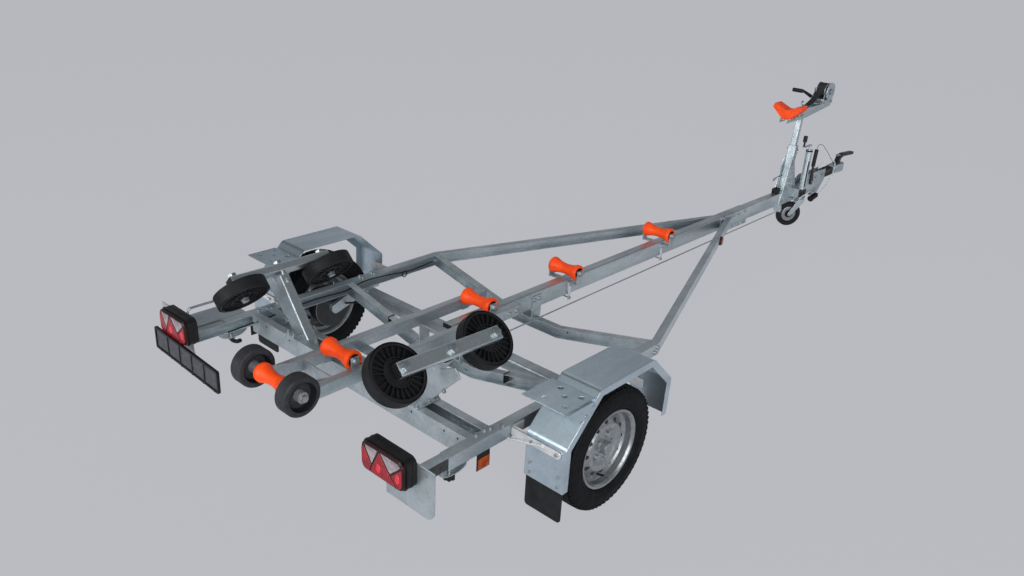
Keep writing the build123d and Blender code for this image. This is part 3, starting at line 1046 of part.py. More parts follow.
# leg and wheel are drawn trailing straight back from the tube's axis, then swivelled
CROWN_TOP = JOCKEY_TUBE_BOTTOM - 4
CROWN_HALF = 25
FORK_HALF = JOCKEY_WHEEL_WIDTH / 2 + 3
SWIVELLED = Pos(JOCKEY_X, JOCKEY_Y, 0) * Rot(0, 0, -JOCKEY_SWIVEL)
with BuildPart() as jockey_leg:
    with BuildSketch(Plane.XY.offset(CROWN_TOP - 16)):
        Rectangle(2 * CROWN_HALF, 2 * FORK_HALF + 8)
    extrude(amount=16)
    with BuildSketch(Plane.XY.offset(CROWN_TOP)):
        Circle(JOCKEY_TUBE_DIAMETER / 2 - JOCKEY_WALL - RUNNING)
    extrude(amount=JOCKEY_TUBE_TOP - CROWN_TOP - 10)
    for side in SIDES:
        with BuildSketch(Plane.XZ.offset(-side * FORK_HALF)):
            with Locations((0, CROWN_TOP - 8)):
                Rectangle(2 * CROWN_HALF, 16)
            with Locations((-JOCKEY_TRAIL, JOCKEY_AXLE_Z)):
                Circle(16)
            make_hull()
        extrude(amount=-side * 4)
    with BuildSketch(Plane.XZ.offset(-FORK_HALF - 10)):
        with Locations((-JOCKEY_TRAIL, JOCKEY_AXLE_Z)):
            Circle(8)
    extrude(amount=2 * FORK_HALF + 20)
pieces["jockey_leg"] = SWIVELLED * jockey_leg.part

with BuildPart() as jockey_wheel:
    with BuildSketch():
        half = JOCKEY_WHEEL_WIDTH / 2
        bore = 8 + RUNNING
        with BuildLine():
            Polyline((bore, -half), (28, -half), (30, -half + 13), (58, -half + 13), (66, -half + 3),
                     (JOCKEY_RADIUS - 8, -half + 3), (JOCKEY_RADIUS, -JOCKEY_TREAD_HALF),
                     (JOCKEY_RADIUS, JOCKEY_TREAD_HALF), (JOCKEY_RADIUS - 8, half - 3), (66, half - 3),
                     (58, half - 13), (30, half - 13), (28, half), (bore, half), close=True)
        make_face()
    revolve(axis=Axis.Y)
pieces["jockey_wheel"] = SWIVELLED * Pos(-JOCKEY_TRAIL, 0, JOCKEY_AXLE_Z) * jockey_wheel.part

# ---------------------------------------------------------------- parking and writing
TURN = Pos(0, 0, AXLE_HEIGHT) * Rot(0, NOSE_DOWN, 0) * Pos(0, 0, -AXLE_HEIGHT)
FOOTPRINT = Compound(children=[TURN * piece for piece in pieces.values()]).bounding_box()
PARKED = Pos(-FOOTPRINT.center().X, 0, 0) * TURN

for piece_name, piece in pieces.items():
    parked_piece = PARKED * piece
    parked_piece.label = piece_name
    export_step(parked_piece, f"parts/{piece_name}.step")
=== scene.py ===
"""Visual model of a single-axle boat trailer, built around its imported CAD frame.

Every dimension is in metres.  Pieces are drawn in the chassis frame, in which the drawbar is level and
the origin is on the floor under the axle, and Placement turns them nose-down with the CAD nodes.
"""

from __future__ import annotations

import logging
import math
from dataclasses import dataclass, field
from enum import Enum
from itertools import product
from typing import Any, Iterable, Sequence

import bmesh
import bpy
from mathutils import Matrix, Vector

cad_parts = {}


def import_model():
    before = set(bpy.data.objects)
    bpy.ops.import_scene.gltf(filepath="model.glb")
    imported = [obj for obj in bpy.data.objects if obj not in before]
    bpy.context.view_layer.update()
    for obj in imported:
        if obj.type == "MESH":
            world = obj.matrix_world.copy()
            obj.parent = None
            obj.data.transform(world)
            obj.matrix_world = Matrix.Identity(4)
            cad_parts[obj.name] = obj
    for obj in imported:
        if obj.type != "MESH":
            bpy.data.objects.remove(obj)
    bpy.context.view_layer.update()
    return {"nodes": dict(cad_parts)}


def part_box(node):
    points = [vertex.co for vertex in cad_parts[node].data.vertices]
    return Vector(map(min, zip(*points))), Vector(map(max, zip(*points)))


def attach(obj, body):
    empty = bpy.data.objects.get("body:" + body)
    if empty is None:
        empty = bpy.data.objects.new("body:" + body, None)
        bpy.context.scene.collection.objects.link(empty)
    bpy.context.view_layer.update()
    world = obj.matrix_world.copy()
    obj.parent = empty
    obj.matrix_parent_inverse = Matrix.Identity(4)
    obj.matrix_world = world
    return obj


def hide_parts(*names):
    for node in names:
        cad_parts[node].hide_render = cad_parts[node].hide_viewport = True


logging.basicConfig(level=logging.INFO, format="%(name)s: %(message)s")
log = logging.getLogger("trailer")

Point = tuple[float, float, float]
Pair = tuple[float, float]
Socket = bpy.types.NodeSocket

NOSE_DOWN = math.radians(2.83)
AXLE_HEIGHT = 0.2825
TRACK_HALF = 0.976
SIDES = (1, -1)
SIDE_NAMES = {1: "left", -1: "right"}
DRAWBAR_TOP = 0.473
DRAWBAR_BOTTOM = 0.378
DRAWBAR_FACE = 0.035        # outer face of the plates that are bolted to the drawbar's sides
RAIL_TOP = 0.45
RAIL_BOTTOM = 0.39
RAIL_OUTER = 0.8
KEEL_Y = 0.12
KEEL_TOP = 0.515
KEEL_BOTTOM = 0.455
CABLE = 0.0038              # radius of the clipped lighting cable
SMALLEST = 1e-6
AHEAD: Point = (1, 0, 0)
BACK: Point = (-1, 0, 0)
OUT: Point = (0, 1, 0)      # on the left side; mirrored on the right one
UP: Point = (0, 0, 1)
DOWN: Point = (0, 0, -1)


# ---------------- placing
class Placement:
    """Where the chassis frame stands in the frame of the CAD nodes."""

    chassis: Matrix = Matrix.Identity(4)

    @classmethod
    def measure(cls) -> None:
        """Takes the shift from a road wheel's tyre, which stands at the chassis origin."""
        low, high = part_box("tyre_left")
        shift = (low[0] + high[0]) / 2
        lift = Matrix.Translation((0, 0, AXLE_HEIGHT))
        turn = lift @ Matrix.Rotation(NOSE_DOWN, 4, "Y") @ lift.inverted()
        cls.chassis = Matrix.Translation((shift, 0, 0)) @ turn

    @classmethod
    def world(cls, x: float, y: float, z: float) -> Vector:
        """Returns a chassis point in the CAD nodes' frame."""
        return cls.chassis @ Vector((x, y, z))


def columns(x: Iterable[float], y: Iterable[float], z: Iterable[float], origin: Iterable[float]) -> Matrix:
    """Returns the place that has these three axes and this origin."""
    return Matrix((*zip(x, y, z, origin), (0, 0, 0, 1)))


def facing(origin: Sequence[float], axis: Sequence[float], along: Sequence[float] = UP) -> Matrix:
    """Returns a place whose local Z points along an axis.

    Args:
        origin: Where the local origin lies.
        axis: Direction of local Z.
        along: Direction that local X follows as nearly as it can.

    Returns:
        The local-to-chassis matrix.
    """
    z = Vector(axis).normalized()
    x = Vector(along) - z * z.dot(Vector(along))
    if x.length < SMALLEST:
        x = z.orthogonal()
    x.normalize()
    return columns(x, z.cross(x), z, origin)


def circle(radius: float, count: int, squash: float = 1.0) -> list[Pair]:
    """Returns points round a circle, or round an ellipse whose second radius is a share of the first."""
    angles = [2 * math.pi * k / count for k in range(count)]
    return [(radius * math.cos(angle), radius * squash * math.sin(angle)) for angle in angles]


def rounded(half_width: float, half_height: float, radius: float, steps: int = 6) -> list[Pair]:
    """Returns the outline of a rectangle with rounded corners."""
    outline = []
    for quarter, (across, up) in enumerate(((1, 1), (-1, 1), (-1, -1), (1, -1))):
        for k in range(steps + 1):
            angle = math.pi / 2 * (quarter + k / steps)
            outline.append((across * (half_width - radius) + radius * math.cos(angle),
                            up * (half_height - radius) + radius * math.sin(angle)))
    return outline


# ---------------- materials
def linear(code: str) -> tuple[float, float, float, float]:
    """Turns an sRGB hex colour into linear red, green, blue and alpha.

    Args:
        code: Six hex digits after a hash sign.

    Returns:
        The linear colour with alpha 1.
    """
    channels = [int(code[i:i + 2], 16) / 255 for i in (1, 3, 5)]
    red, green, blue = (c / 12.92 if c <= 0.04045 else ((c + 0.055) / 1.055) ** 2.4 for c in channels)
    return red, green, blue, 1.0


def add_node(tree: bpy.types.NodeTree, kind: str, settings: dict[str, Any] | None = None,
             inputs: dict[Any, Any] | None = None) -> bpy.types.Node:
    """Adds one node with its settings, socket values and links.

    Args:
        tree: The tree that gets the node.
        kind: Blender's type name of the node.
        settings: Attributes of the node.
        inputs: Values, or output sockets to link, by input name or index.

    Returns:
        The new node.
    """
    node = tree.nodes.new(kind)
    for key, value in (settings or {}).items():
        setattr(node, key, value)
    for key, value in (inputs or {}).items():
        if isinstance(value, Socket):
            tree.links.new(value, node.inputs[key])
        else:
            node.inputs[key].default_value = value
    return node


def emptied(owner: bpy.types.Material | bpy.types.World) -> bpy.types.NodeTree:
    """Returns the node tree of a material or a world, with nothing in it."""
    owner.use_nodes = True
    owner.node_tree.nodes.clear()
    return owner.node_tree


class Slot(Enum):
    """Material slots that the finishes stand for."""

    GALVANISED = "galvanised_steel"
    DARK_STEEL = "dark_steel"
    SILVER = "silver_steel"
    TYRE = "tyre_rubber"
    RUBBER = "black_rubber"
    ORANGE = "orange_polyurethane"
    PLASTIC = "black_plastic"
    LENS = "red_lens"
    SHEATH = "grey_sheath"
    WIRE = "wire_rope"


@dataclass(frozen=True)
class Finish:
    """A surface with two mottled colours, an uneven gloss and a fine relief.

    Attributes:
        name: What the real surface is.
        slot: The material slot that it stands for; not used.
        light: Colour of the brighter areas.
        dark: Colour of the duller areas.
        mottle: Size in metres of the colour areas.
        grain: Size in metres of the relief.
        relief: Depth in metres of the relief.
        gloss: Lowest and highest roughness.
        metallic: Share of metal in the shader.
        ior: Index of refraction, for what is not a metal.
        coat: Strength of a clear layer.
        corner: Radius in metres to which sharp edges are shaded, or 0.
    """

    name: str
    slot: Slot
    light: str
    dark: str
    mottle: float = 0.03
    grain: float = 0.002
    relief: float = 0.0001
    gloss: Pair = (0.4, 0.6)
    metallic: float = 0.0
    ior: float = 1.5
    coat: float = 0.0
    corner: float = 0.0

    def material(self) -> bpy.types.Material:
        """Returns the finish's material, made on first use."""
        made = bpy.data.materials.get(self.name)
        if made:
            return made
        made = bpy.data.materials.new(self.name)
        tree = emptied(made)
        place = add_node(tree, "ShaderNodeTexCoord").outputs["Object"]
        surface = add_node(tree, "ShaderNodeBsdfPrincipled", inputs={
            "Metallic": self.metallic, "Coat Weight": self.coat, "Coat Roughness": 0.08,
            **({} if self.metallic else {"IOR": self.ior})})
        self.paint(tree, place, surface)
        add_node(tree, "ShaderNodeOutputMaterial", inputs={"Surface": surface.outputs[0]})
        return made

    def paint(self, tree: bpy.types.NodeTree, place: Socket, surface: bpy.types.Node) -> None:
        """Links the colour, roughness and relief of the surface to its shader."""
        areas = add_node(tree, "ShaderNodeTexNoise", inputs={
            "Vector": place, "Scale": 1 / self.mottle, "Detail": 4.0, "Roughness": 0.6})
        tone = add_node(tree, "ShaderNodeMapRange", inputs={
            "Value": areas.outputs[0], "From Min": 0.3, "From Max": 0.7})
        grain = add_node(tree, "ShaderNodeTexNoise", inputs={
            "Vector": place, "Scale": 1 / self.grain, "Detail": 2.0})
        self.dress(tree, surface, tone.outputs[0], grain.outputs[0])

    def dress(self, tree: bpy.types.NodeTree, surface: bpy.types.Node, tone: Socket,
              height: Socket) -> None:
        """Turns a tone from 0 to 1 into colour and gloss, and a height into relief.

        Args:
            tree: The material's tree.
            surface: The shader that is fed.
            tone: 0 for the duller colour and 1 for the brighter.
            height: Relief from 0 to 1.
        """
        colour = add_node(tree, "ShaderNodeMix", {"data_type": "RGBA"}, {
            "Factor": tone, 6: linear(self.dark), 7: linear(self.light)})
        rough = add_node(tree, "ShaderNodeMapRange", inputs={
            "Value": tone, "To Min": self.gloss[1], "To Max": self.gloss[0]})
        worn = {"Normal": add_node(tree, "ShaderNodeBevel", {"samples": 4}, {
            "Radius": self.corner}).outputs[0]} if self.corner else {}
        bump = add_node(tree, "ShaderNodeBump", inputs={
            "Height": height, "Distance": self.relief, "Strength": 0.6, **worn})
        tree.links.new(colour.outputs[2], surface.inputs["Base Color"])
        tree.links.new(rough.outputs[0], surface.inputs["Roughness"])
        tree.links.new(bump.outputs[0], surface.inputs["Normal"])


@dataclass(frozen=True)
class GalvanisedSteel(Finish):
    """Hot-dip zinc: soft clouds from the bath and faint crystals in them.

    Attributes:
        spangle: Width in metres of a zinc crystal.
    """

    spangle: float = 0.01

    def paint(self, tree: bpy.types.NodeTree, place: Socket, surface: bpy.types.Node) -> None:
        """Adds the zinc crystals and the drawn streaks to the clouds of the plain finish."""
        wobble = add_node(tree, "ShaderNodeTexNoise", inputs={"Vector": place, "Scale": 60.0, "Detail": 2.0})
        bent = add_node(tree, "ShaderNodeMix", {"data_type": "VECTOR"}, {
            "Factor": 0.008, 4: place, 5: wobble.outputs[1]})
        crystal = add_node(tree, "ShaderNodeTexVoronoi", inputs={
            "Vector": bent.outputs[1], "Scale": 1 / self.spangle})
        shade = add_node(tree, "ShaderNodeSeparateColor", inputs={"Color": crystal.outputs["Color"]})
        drawn = add_node(tree, "ShaderNodeMapping", inputs={"Vector": place, "Scale": (0.25, 1.0, 1.0)})
        clouds = add_node(tree, "ShaderNodeTexNoise", inputs={
            "Vector": drawn.outputs[0], "Scale": 1 / self.mottle, "Detail": 5.0, "Roughness": 0.6})
        blend = add_node(tree, "ShaderNodeMath", {"operation": "MULTIPLY_ADD"}, {
            0: shade.outputs[0], 1: 0.1, 2: clouds.outputs[0]})
        tone = add_node(tree, "ShaderNodeMapRange", inputs={
            "Value": blend.outputs[0], "From Min": 0.32, "From Max": 0.78})
        grain = add_node(tree, "ShaderNodeTexNoise", inputs={
            "Vector": place, "Scale": 1 / self.grain, "Detail": 3.0})
        self.dress(tree, surface, tone.outputs[0], grain.outputs[0])


@dataclass(frozen=True)
class PrismLens(Finish):
    """Moulded acrylic lens: small prisms behind a smooth face, brighter where they catch the light.

    Attributes:
        prism: Width in metres of one prism.
    """

    prism: float = 0.004

    def paint(self, tree: bpy.types.NodeTree, place: Socket, surface: bpy.types.Node) -> None:
        """Draws the prisms as cells that differ a little in tone and stand out in relief."""
        cells = add_node(tree, "ShaderNodeTexVoronoi", {"distance": "CHEBYCHEV"}, {
            "Vector": place, "Scale": 1 / self.prism, "Randomness": 0.15})
        clouds = add_node(tree, "ShaderNodeTexNoise", inputs={"Vector": place, "Scale": 1 / self.mottle})
        tone = add_node(tree, "ShaderNodeMath", {"operation": "MULTIPLY_ADD", "use_clamp": True}, {
            0: cells.outputs["Distance"], 1: -0.8, 2: clouds.outputs[0]})
        spread = add_node(tree, "ShaderNodeMapRange", inputs={
            "Value": tone.outputs[0], "From Min": 0.0, "From Max": 0.6})
        self.dress(tree, surface, spread.outputs[0], cells.outputs["Distance"])


@dataclass(frozen=True)
class Braid(Finish):
    """Twisted or woven strands: raised bands that run across the piece at a slant.

    Attributes:
        pitch: Distance in metres from one strand to the next.
        slant: Direction of the bands.
    """

    pitch: float = 0.003
    slant: tuple[float, float, float] = (1.0, 1.0, 1.0)

    def paint(self, tree: bpy.types.NodeTree, place: Socket, surface: bpy.types.Node) -> None:
        """Draws the strands as waves along the slant, dark between them."""
        turned = add_node(tree, "ShaderNodeMapping", inputs={"Vector": place, "Scale": self.slant})
        waves = add_node(tree, "ShaderNodeTexWave", {"bands_direction": "DIAGONAL"}, {
            "Vector": turned.outputs[0], "Scale": 1 / (6.0 * self.pitch), "Distortion": 0.4, "Detail": 1.0})
        self.dress(tree, surface, waves.outputs["Fac"], waves.outputs["Fac"])


# Zinc bath over rolled steel: a broad, bluish, slightly cloudy sheen.
GALVANISED = GalvanisedSteel("hot_dip_galvanised_steel", Slot.GALVANISED, "#cdd6da", "#9aa5ab",
                             mottle=0.11, grain=0.009, relief=0.00001, gloss=(0.32, 0.48), metallic=0.9,
                             corner=0.004)
# Zinc over thin pressed sheet comes out smoother and bluer than on the sections.
GALVANISED_SHEET = GalvanisedSteel("galvanised_sheet_steel", Slot.GALVANISED, "#c9d7e0", "#9fb0bb",
                                   mottle=0.16, grain=0.012, relief=0.00001, gloss=(0.28, 0.42), metallic=0.9,
                                   corner=0.005)
# Electroplated bolts and hooks: bright, even and nearly smooth.
BRIGHT_ZINC = Finish("bright_zinc_plated_steel", Slot.GALVANISED, "#adb3b7", "#8c9296", mottle=0.01,
                     gloss=(0.3, 0.45), metallic=0.85)
# Stove enamel over cast or pressed steel: almost even, with a soft shine.
# It also stands for painted shade on the brake drums and backplates, which lie in shadow inside the wheels.
DARK_STEEL = Finish("black_paint_and_painted_shade", Slot.DARK_STEEL, "#1e2023", "#131416", gloss=(0.32, 0.48))
# Painted shade: a thin dark sheet for the unlit inside of open profiles, where shadow falls.
SHADED_STEEL = Finish("painted_shade_inside_profiles", Slot.DARK_STEEL, "#2b2f31", "#1d2021", mottle=0.05,
                      gloss=(0.5, 0.7))
# Silver wheel paint: fine metal flake under clear lacquer.
RIM_PAINT = Finish("silver_wheel_lacquer", Slot.SILVER, "#94989b", "#767a7e", mottle=0.02, grain=0.0006,
                   gloss=(0.3, 0.4), metallic=0.65, coat=0.3)
# Vulcanised tread rubber: dark grey, matt, finely rough.
TYRE_RUBBER = Finish("vulcanised_tyre_rubber", Slot.TYRE, "#111214", "#0a0b0c", mottle=0.04, grain=0.0015,
                     relief=0.0002, gloss=(0.6, 0.78), ior=1.22)
# Moulded rollers and flaps: grey-black with the bloom that new rubber has.
BLACK_RUBBER = Finish("moulded_black_rubber", Slot.RUBBER, "#1d1e21", "#121315", mottle=0.05, grain=0.0012,
                      relief=0.0001, gloss=(0.5, 0.66), ior=1.27)
# Flexible bellows rubber: darker and a little shinier on its folds.
BELLOWS_RUBBER = Finish("bellows_rubber", Slot.RUBBER, "#1b1b1d", "#101011", gloss=(0.4, 0.55))
# Cast polyurethane: saturated colour with a waxy shine and slight flow clouds.
ORANGE = Finish("cast_orange_polyurethane", Slot.ORANGE, "#ee4c05", "#d83b02", mottle=0.05, grain=0.003,
                relief=0.00005, gloss=(0.38, 0.5), ior=1.36)
# Injection-moulded covers and grips: fine spark-eroded grain.
# It also stands for painted shade: thin dark plates in the hollow ends of the bogie beams, keel rails and
# drawbar.
BLACK_PLASTIC = Finish("black_polypropylene_and_painted_shade", Slot.PLASTIC, "#131416", "#0b0c0d", grain=0.0008,
                       relief=0.0001, gloss=(0.38, 0.52), ior=1.36)
# Moulded hubs and indicators in mid-grey polypropylene: even and satin.
GREY_PLASTIC = Finish("grey_polypropylene", Slot.PLASTIC, "#77797c", "#626467", grain=0.001,
                      gloss=(0.4, 0.55))
# Bays of the plate holder: the same plastic as its frame, scuffed paler.
PALE_PLASTIC = Finish("number_plate_backing", Slot.PLASTIC, "#3c3e43", "#2a2c30", mottle=0.02, grain=0.0012,
                      relief=0.00015, gloss=(0.35, 0.5))
# Coloured acrylic over reflector prisms: deep red, amber or nearly clear, under a smooth glossy face.
RED_LENS = PrismLens("red_acrylic_lens", Slot.LENS, "#9c0c1c", "#690710", mottle=0.035, relief=0.0004,
                     gloss=(0.2, 0.3), ior=1.4, coat=0.2)
CLEAR_LENS = PrismLens("clear_acrylic_lens", Slot.LENS, "#a89ea3", "#6f666a", mottle=0.03, relief=0.0004,
                       gloss=(0.2, 0.3), ior=1.4, coat=0.2)
AMBER_LENS = PrismLens("amber_acrylic_reflector", Slot.LENS, "#a0440c", "#6c2a07", mottle=0.03, relief=0.0004,
                       gloss=(0.2, 0.3), ior=1.4, coat=0.2)
# Polyester winch webbing: close weave, matt.
WEBBING = Braid("woven_polyester_webbing", Slot.PLASTIC, "#222327", "#101113", relief=0.0004,
                gloss=(0.6, 0.8), pitch=0.004, slant=(1.0, 3.0, 1.0))
# Seven-strand steel rope: bright strands, darker in the gaps between them.
WIRE_ROPE = Braid("stranded_wire_rope", Slot.WIRE, "#6d6f72", "#2f3032", relief=0.0003, gloss=(0.3, 0.45),
                  metallic=0.8, pitch=0.004)
# Extruded PVC: pale grey, even, softly shiny.
GREY_SHEATH = Finish("grey_pvc_cable_sheath", Slot.SHEATH, "#c9cccf", "#b3b6ba", mottle=0.02,
                     gloss=(0.35, 0.5))
# Clearer red windows in front of the bulbs, which come out brighter than the lens round them.
CHAMBER_RED = PrismLens("bulb_chamber_lens", Slot.LENS, "#e03044", "#b01528", mottle=0.03, relief=0.0004,
                        gloss=(0.12, 0.22))
# Rods and plates with a fresh, whiter zinc than the sections that carry them.
PALE_ZINC = Finish("pale_zinc_plate", Slot.GALVANISED, "#e2e3e2", "#c3c6c7", mottle=0.05, grain=0.01,
                   relief=0.00001, gloss=(0.35, 0.5), metallic=0.6)
# Solid rubber of the rear rollers: a shade greyer than the tyres, scuffed matt.
ROLLER_RUBBER = Finish("solid_roller_rubber", Slot.RUBBER, "#2f3034", "#212226", mottle=0.04, grain=0.0012,
                       relief=0.0001, gloss=(0.5, 0.66), ior=1.3)
# Grooves between the lens's sections, nearly black where no prism sends light back.
DEEP_LENS = Finish("lens_grooves", Slot.LENS, "#22060b", "#150407", mottle=0.02, gloss=(0.25, 0.35), ior=1.4)
# Shadow inside open holes.
HOLLOW = Finish("dark_inside_of_holes", Slot.DARK_STEEL, "#1a1b1d", "#101112", gloss=(0.6, 0.8))
# The brake drums take the dark finish as painted shade for the shadow inside the wheels.
NODE_FINISHES = {
    "bogie_wheel": BLACK_RUBBER, "bow_stop": ORANGE, "brake_drum": DARK_STEEL, "breakaway_cable": WIRE_ROPE,
    "coupling_bellows": BELLOWS_RUBBER, "coupling_handle": BLACK_PLASTIC, "guard_stays": PALE_ZINC,
    "handbrake_lever": BLACK_PLASTIC, "jockey_knob": BLACK_PLASTIC, "jockey_wheel": BLACK_RUBBER,
    "keel_roller": ORANGE, "lamp": BLACK_PLASTIC, "lamp_lens": DEEP_LENS, "light_cable": GREY_SHEATH,
    "light_gland": BLACK_PLASTIC, "light_plug": BLACK_PLASTIC, "mud_flaps": BLACK_RUBBER,
    "mudguards": GALVANISED_SHEET, "number_plate_holder": BLACK_PLASTIC, "rear_roller_wheels": ROLLER_RUBBER,
    "road_wheel": RIM_PAINT, "step_plates": GALVANISED_SHEET, "tyre": TYRE_RUBBER, "winch_crank": DARK_STEEL,
}


def finish_of(node: str) -> Finish:
    """Returns the finish of a CAD node, by the longest name that its own starts with."""
    names = [name for name in NODE_FINISHES if node.startswith(name)]
    return NODE_FINISHES[max(names, key=len)] if names else GALVANISED


# ---------------- meshes
class Shape:
    """A piece under construction: mesh parts in the chassis frame, each with its own finish."""

    def __init__(self, name: str) -> None:
        """Starts an empty piece of that name."""
        self.name = name
        self.mesh = bmesh.new()
        self.finishes: list[Finish] = []

    def paint(self, faces: Iterable[bmesh.types.BMFace], finish: Finish) -> None:
        """Gives faces their finish and smooth shading."""
        if finish not in self.finishes:
            self.finishes.append(finish)
        for face in faces:
            face.material_index = self.finishes.index(finish)
            face.smooth = True

    def rings(self, rings: Sequence[Sequence[Vector]], finish: Finish, closed: bool = False) -> None:
        """Skins a row of rings of points.

        Args:
            rings: Rings with the same number of points.
            finish: Finish of the skin.
            closed: Whether the last ring joins the first; if not, flat faces close the two ends.
        """
        rows = [[self.mesh.verts.new(point) for point in ring] for ring in rings]
        faces = []
        count = len(rows[0])
        pairs = list(zip(rows, rows[1:])) + ([(rows[-1], rows[0])] if closed else [])
        for low, high in pairs:
            for i in range(count):
                j = (i + 1) % count
                faces.append(self.mesh.faces.new((low[i], low[j], high[j], high[i])))
        if not closed:
            faces.append(self.mesh.faces.new(rows[0][::-1]))
            faces.append(self.mesh.faces.new(rows[-1]))
        bmesh.ops.recalc_face_normals(self.mesh, faces=faces)
        self.paint(faces, finish)

    def turned(self, profile: Sequence[Pair], place: Matrix, finish: Finish, segments: int = 40) -> None:
        """Turns a closed profile of radius and height about the place's Z axis.

        Args:
            profile: Radius and height of each corner, in order round the section.
            place: Local-to-chassis matrix.
            finish: Finish of the turned part.
            segments: Number of steps round.
        """
        spokes = [[place @ Vector((r * across, r * up, h)) for r, h in profile]
                  for across, up in circle(1.0, segments)]
        self.rings(spokes, finish, closed=True)

    def disc(self, radius: float, height: float, place: Matrix, finish: Finish, chamfer: float = 0.001,
             segments: int = 32) -> None:
        """Adds a round boss with chamfered rims, standing on the place's XY plane."""
        rims = ((radius, 0.0), (radius, height - chamfer), (radius - chamfer, height))
        self.rings([[place @ Vector((*point, h)) for point in circle(r, segments)] for r, h in rims], finish)

    def prism(self, outline: Sequence[Pair], depth: float, place: Matrix, finish: Finish,
              chamfer: float = 0.0) -> None:
        """Extrudes a closed outline along the place's Z axis.

        Args:
            outline: Corners in the local XY plane, in order.
            depth: Height of the prism.
            place: Local-to-chassis matrix.
            finish: Finish of the prism.
            chamfer: How much the far rim is drawn in.
        """
        centre = (sum(x for x, _ in outline) / len(outline), sum(y for _, y in outline) / len(outline))

        def ring(height: float, inset: float) -> list[Vector]:
            """Returns the outline at a height, drawn in towards its centre."""
            points = []
            for x, y in outline:
                away = Vector((x - centre[0], y - centre[1]))
                drawn = away * max(0.0, 1 - inset / max(away.length, SMALLEST))
                points.append(place @ Vector((centre[0] + drawn.x, centre[1] + drawn.y, height)))
            return points

        rows = [ring(0.0, 0.0), ring(depth - chamfer, 0.0)]
        if chamfer:
            rows.append(ring(depth, chamfer))
        self.rings(rows, finish)

    def block(self, first: Sequence[float], second: Sequence[float], finish: Finish,
              chamfer: float = 0.0012) -> None:
        """Adds a box between two opposite corners in the chassis frame, with chamfered edges."""
        before = set(self.mesh.faces)
        size = [abs(b - a) for a, b in zip(first, second)]
        centre = [(b + a) / 2 for a, b in zip(first, second)]
        matrix = Matrix.Translation(centre) @ Matrix.Diagonal((*size, 1.0))
        made = bmesh.ops.create_cube(self.mesh, size=1.0, matrix=matrix)
        edges = list({edge for vert in made["verts"] for edge in vert.link_edges})
        width = min(chamfer, min(size) * 0.3)
        bmesh.ops.bevel(self.mesh, geom=edges, offset=width, segments=2, profile=0.5, affect="EDGES")
        self.paint([face for face in self.mesh.faces if face not in before], finish)

    def tube(self, points: Sequence[Sequence[float]], radius: float, finish: Finish, steps: int = 6,
             segments: int = 12, flat: float = 1.0) -> None:
        """Adds a round or flattened tube along a smooth line through points.

        Args:
            points: Points that the middle of the tube goes through.
            radius: Radius across the tube.
            finish: Finish of the tube.
            steps: Rings between two points.
            segments: Points round a ring.
            flat: Share of the radius in the second direction.
        """
        line = smooth_line([Vector(point) for point in points], steps)
        rings = []
        side = (line[1] - line[0]).orthogonal().normalized() if flat == 1.0 else Vector(OUT)
        for i, point in enumerate(line):
            ahead = (line[min(i + 1, len(line) - 1)] - line[max(i - 1, 0)]).normalized()
            side = (side - ahead * side.dot(ahead)).normalized()
            up = ahead.cross(side)
            rings.append([point + side * u + up * v for u, v in circle(radius, segments, flat)])
        self.rings(rings, finish)

    def done(self, body: str, replaced: Sequence[str] = ()) -> bpy.types.Object:
        """Turns the mesh into a finished object on its body.

        Args:
            body: CAD body that the piece rides on.
            replaced: CAD nodes that the piece stands for.

        Returns:
            The object, at the origin.
        """
        data = bpy.data.meshes.new(self.name)
        self.mesh.to_mesh(data)
        self.mesh.free()
        data.transform(Placement.chassis)
        for finish in self.finishes:
            data.materials.append(finish.material())
        return settle(self.name, data, body, replaced)


def smooth_line(points: Sequence[Vector], steps: int) -> list[Vector]:
    """Returns a line through points that bends smoothly, with a number of steps between two of them."""
    if len(points) == 2 or steps < 2:
        return list(points)
    padded = [points[0] * 2 - points[1], *points, points[-1] * 2 - points[-2]]
    line = []
    for a, b, c, d in zip(padded, padded[1:], padded[2:], padded[3:]):
        for k in range(steps):
            t = k / steps
            line.append(0.5 * ((2 * b) + (c - a) * t + (2 * a - 5 * b + 4 * c - d) * t * t
                               + (3 * b - a - 3 * c + d) * t ** 3))
    return [*line, points[-1]]


def settle(name: str, data: bpy.types.Mesh, body: str,
           replaced: Sequence[str] = ()) -> bpy.types.Object:
    """Args:
        name: Name of the piece.
        data: Mesh in the frame of the CAD nodes.
        body: CAD body that the piece rides on.
        replaced: CAD nodes that the piece stands for.

    Returns:
        The object, at the origin.
    """
    data.set_sharp_from_angle(angle=math.radians(35))
    piece = bpy.data.objects.new(name, data)
    bpy.context.collection.objects.link(piece)
    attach(piece, body)
    if replaced:
        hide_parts(*replaced)
    log.info("%s on %s: %d faces", name, body, len(data.polygons))
    return piece


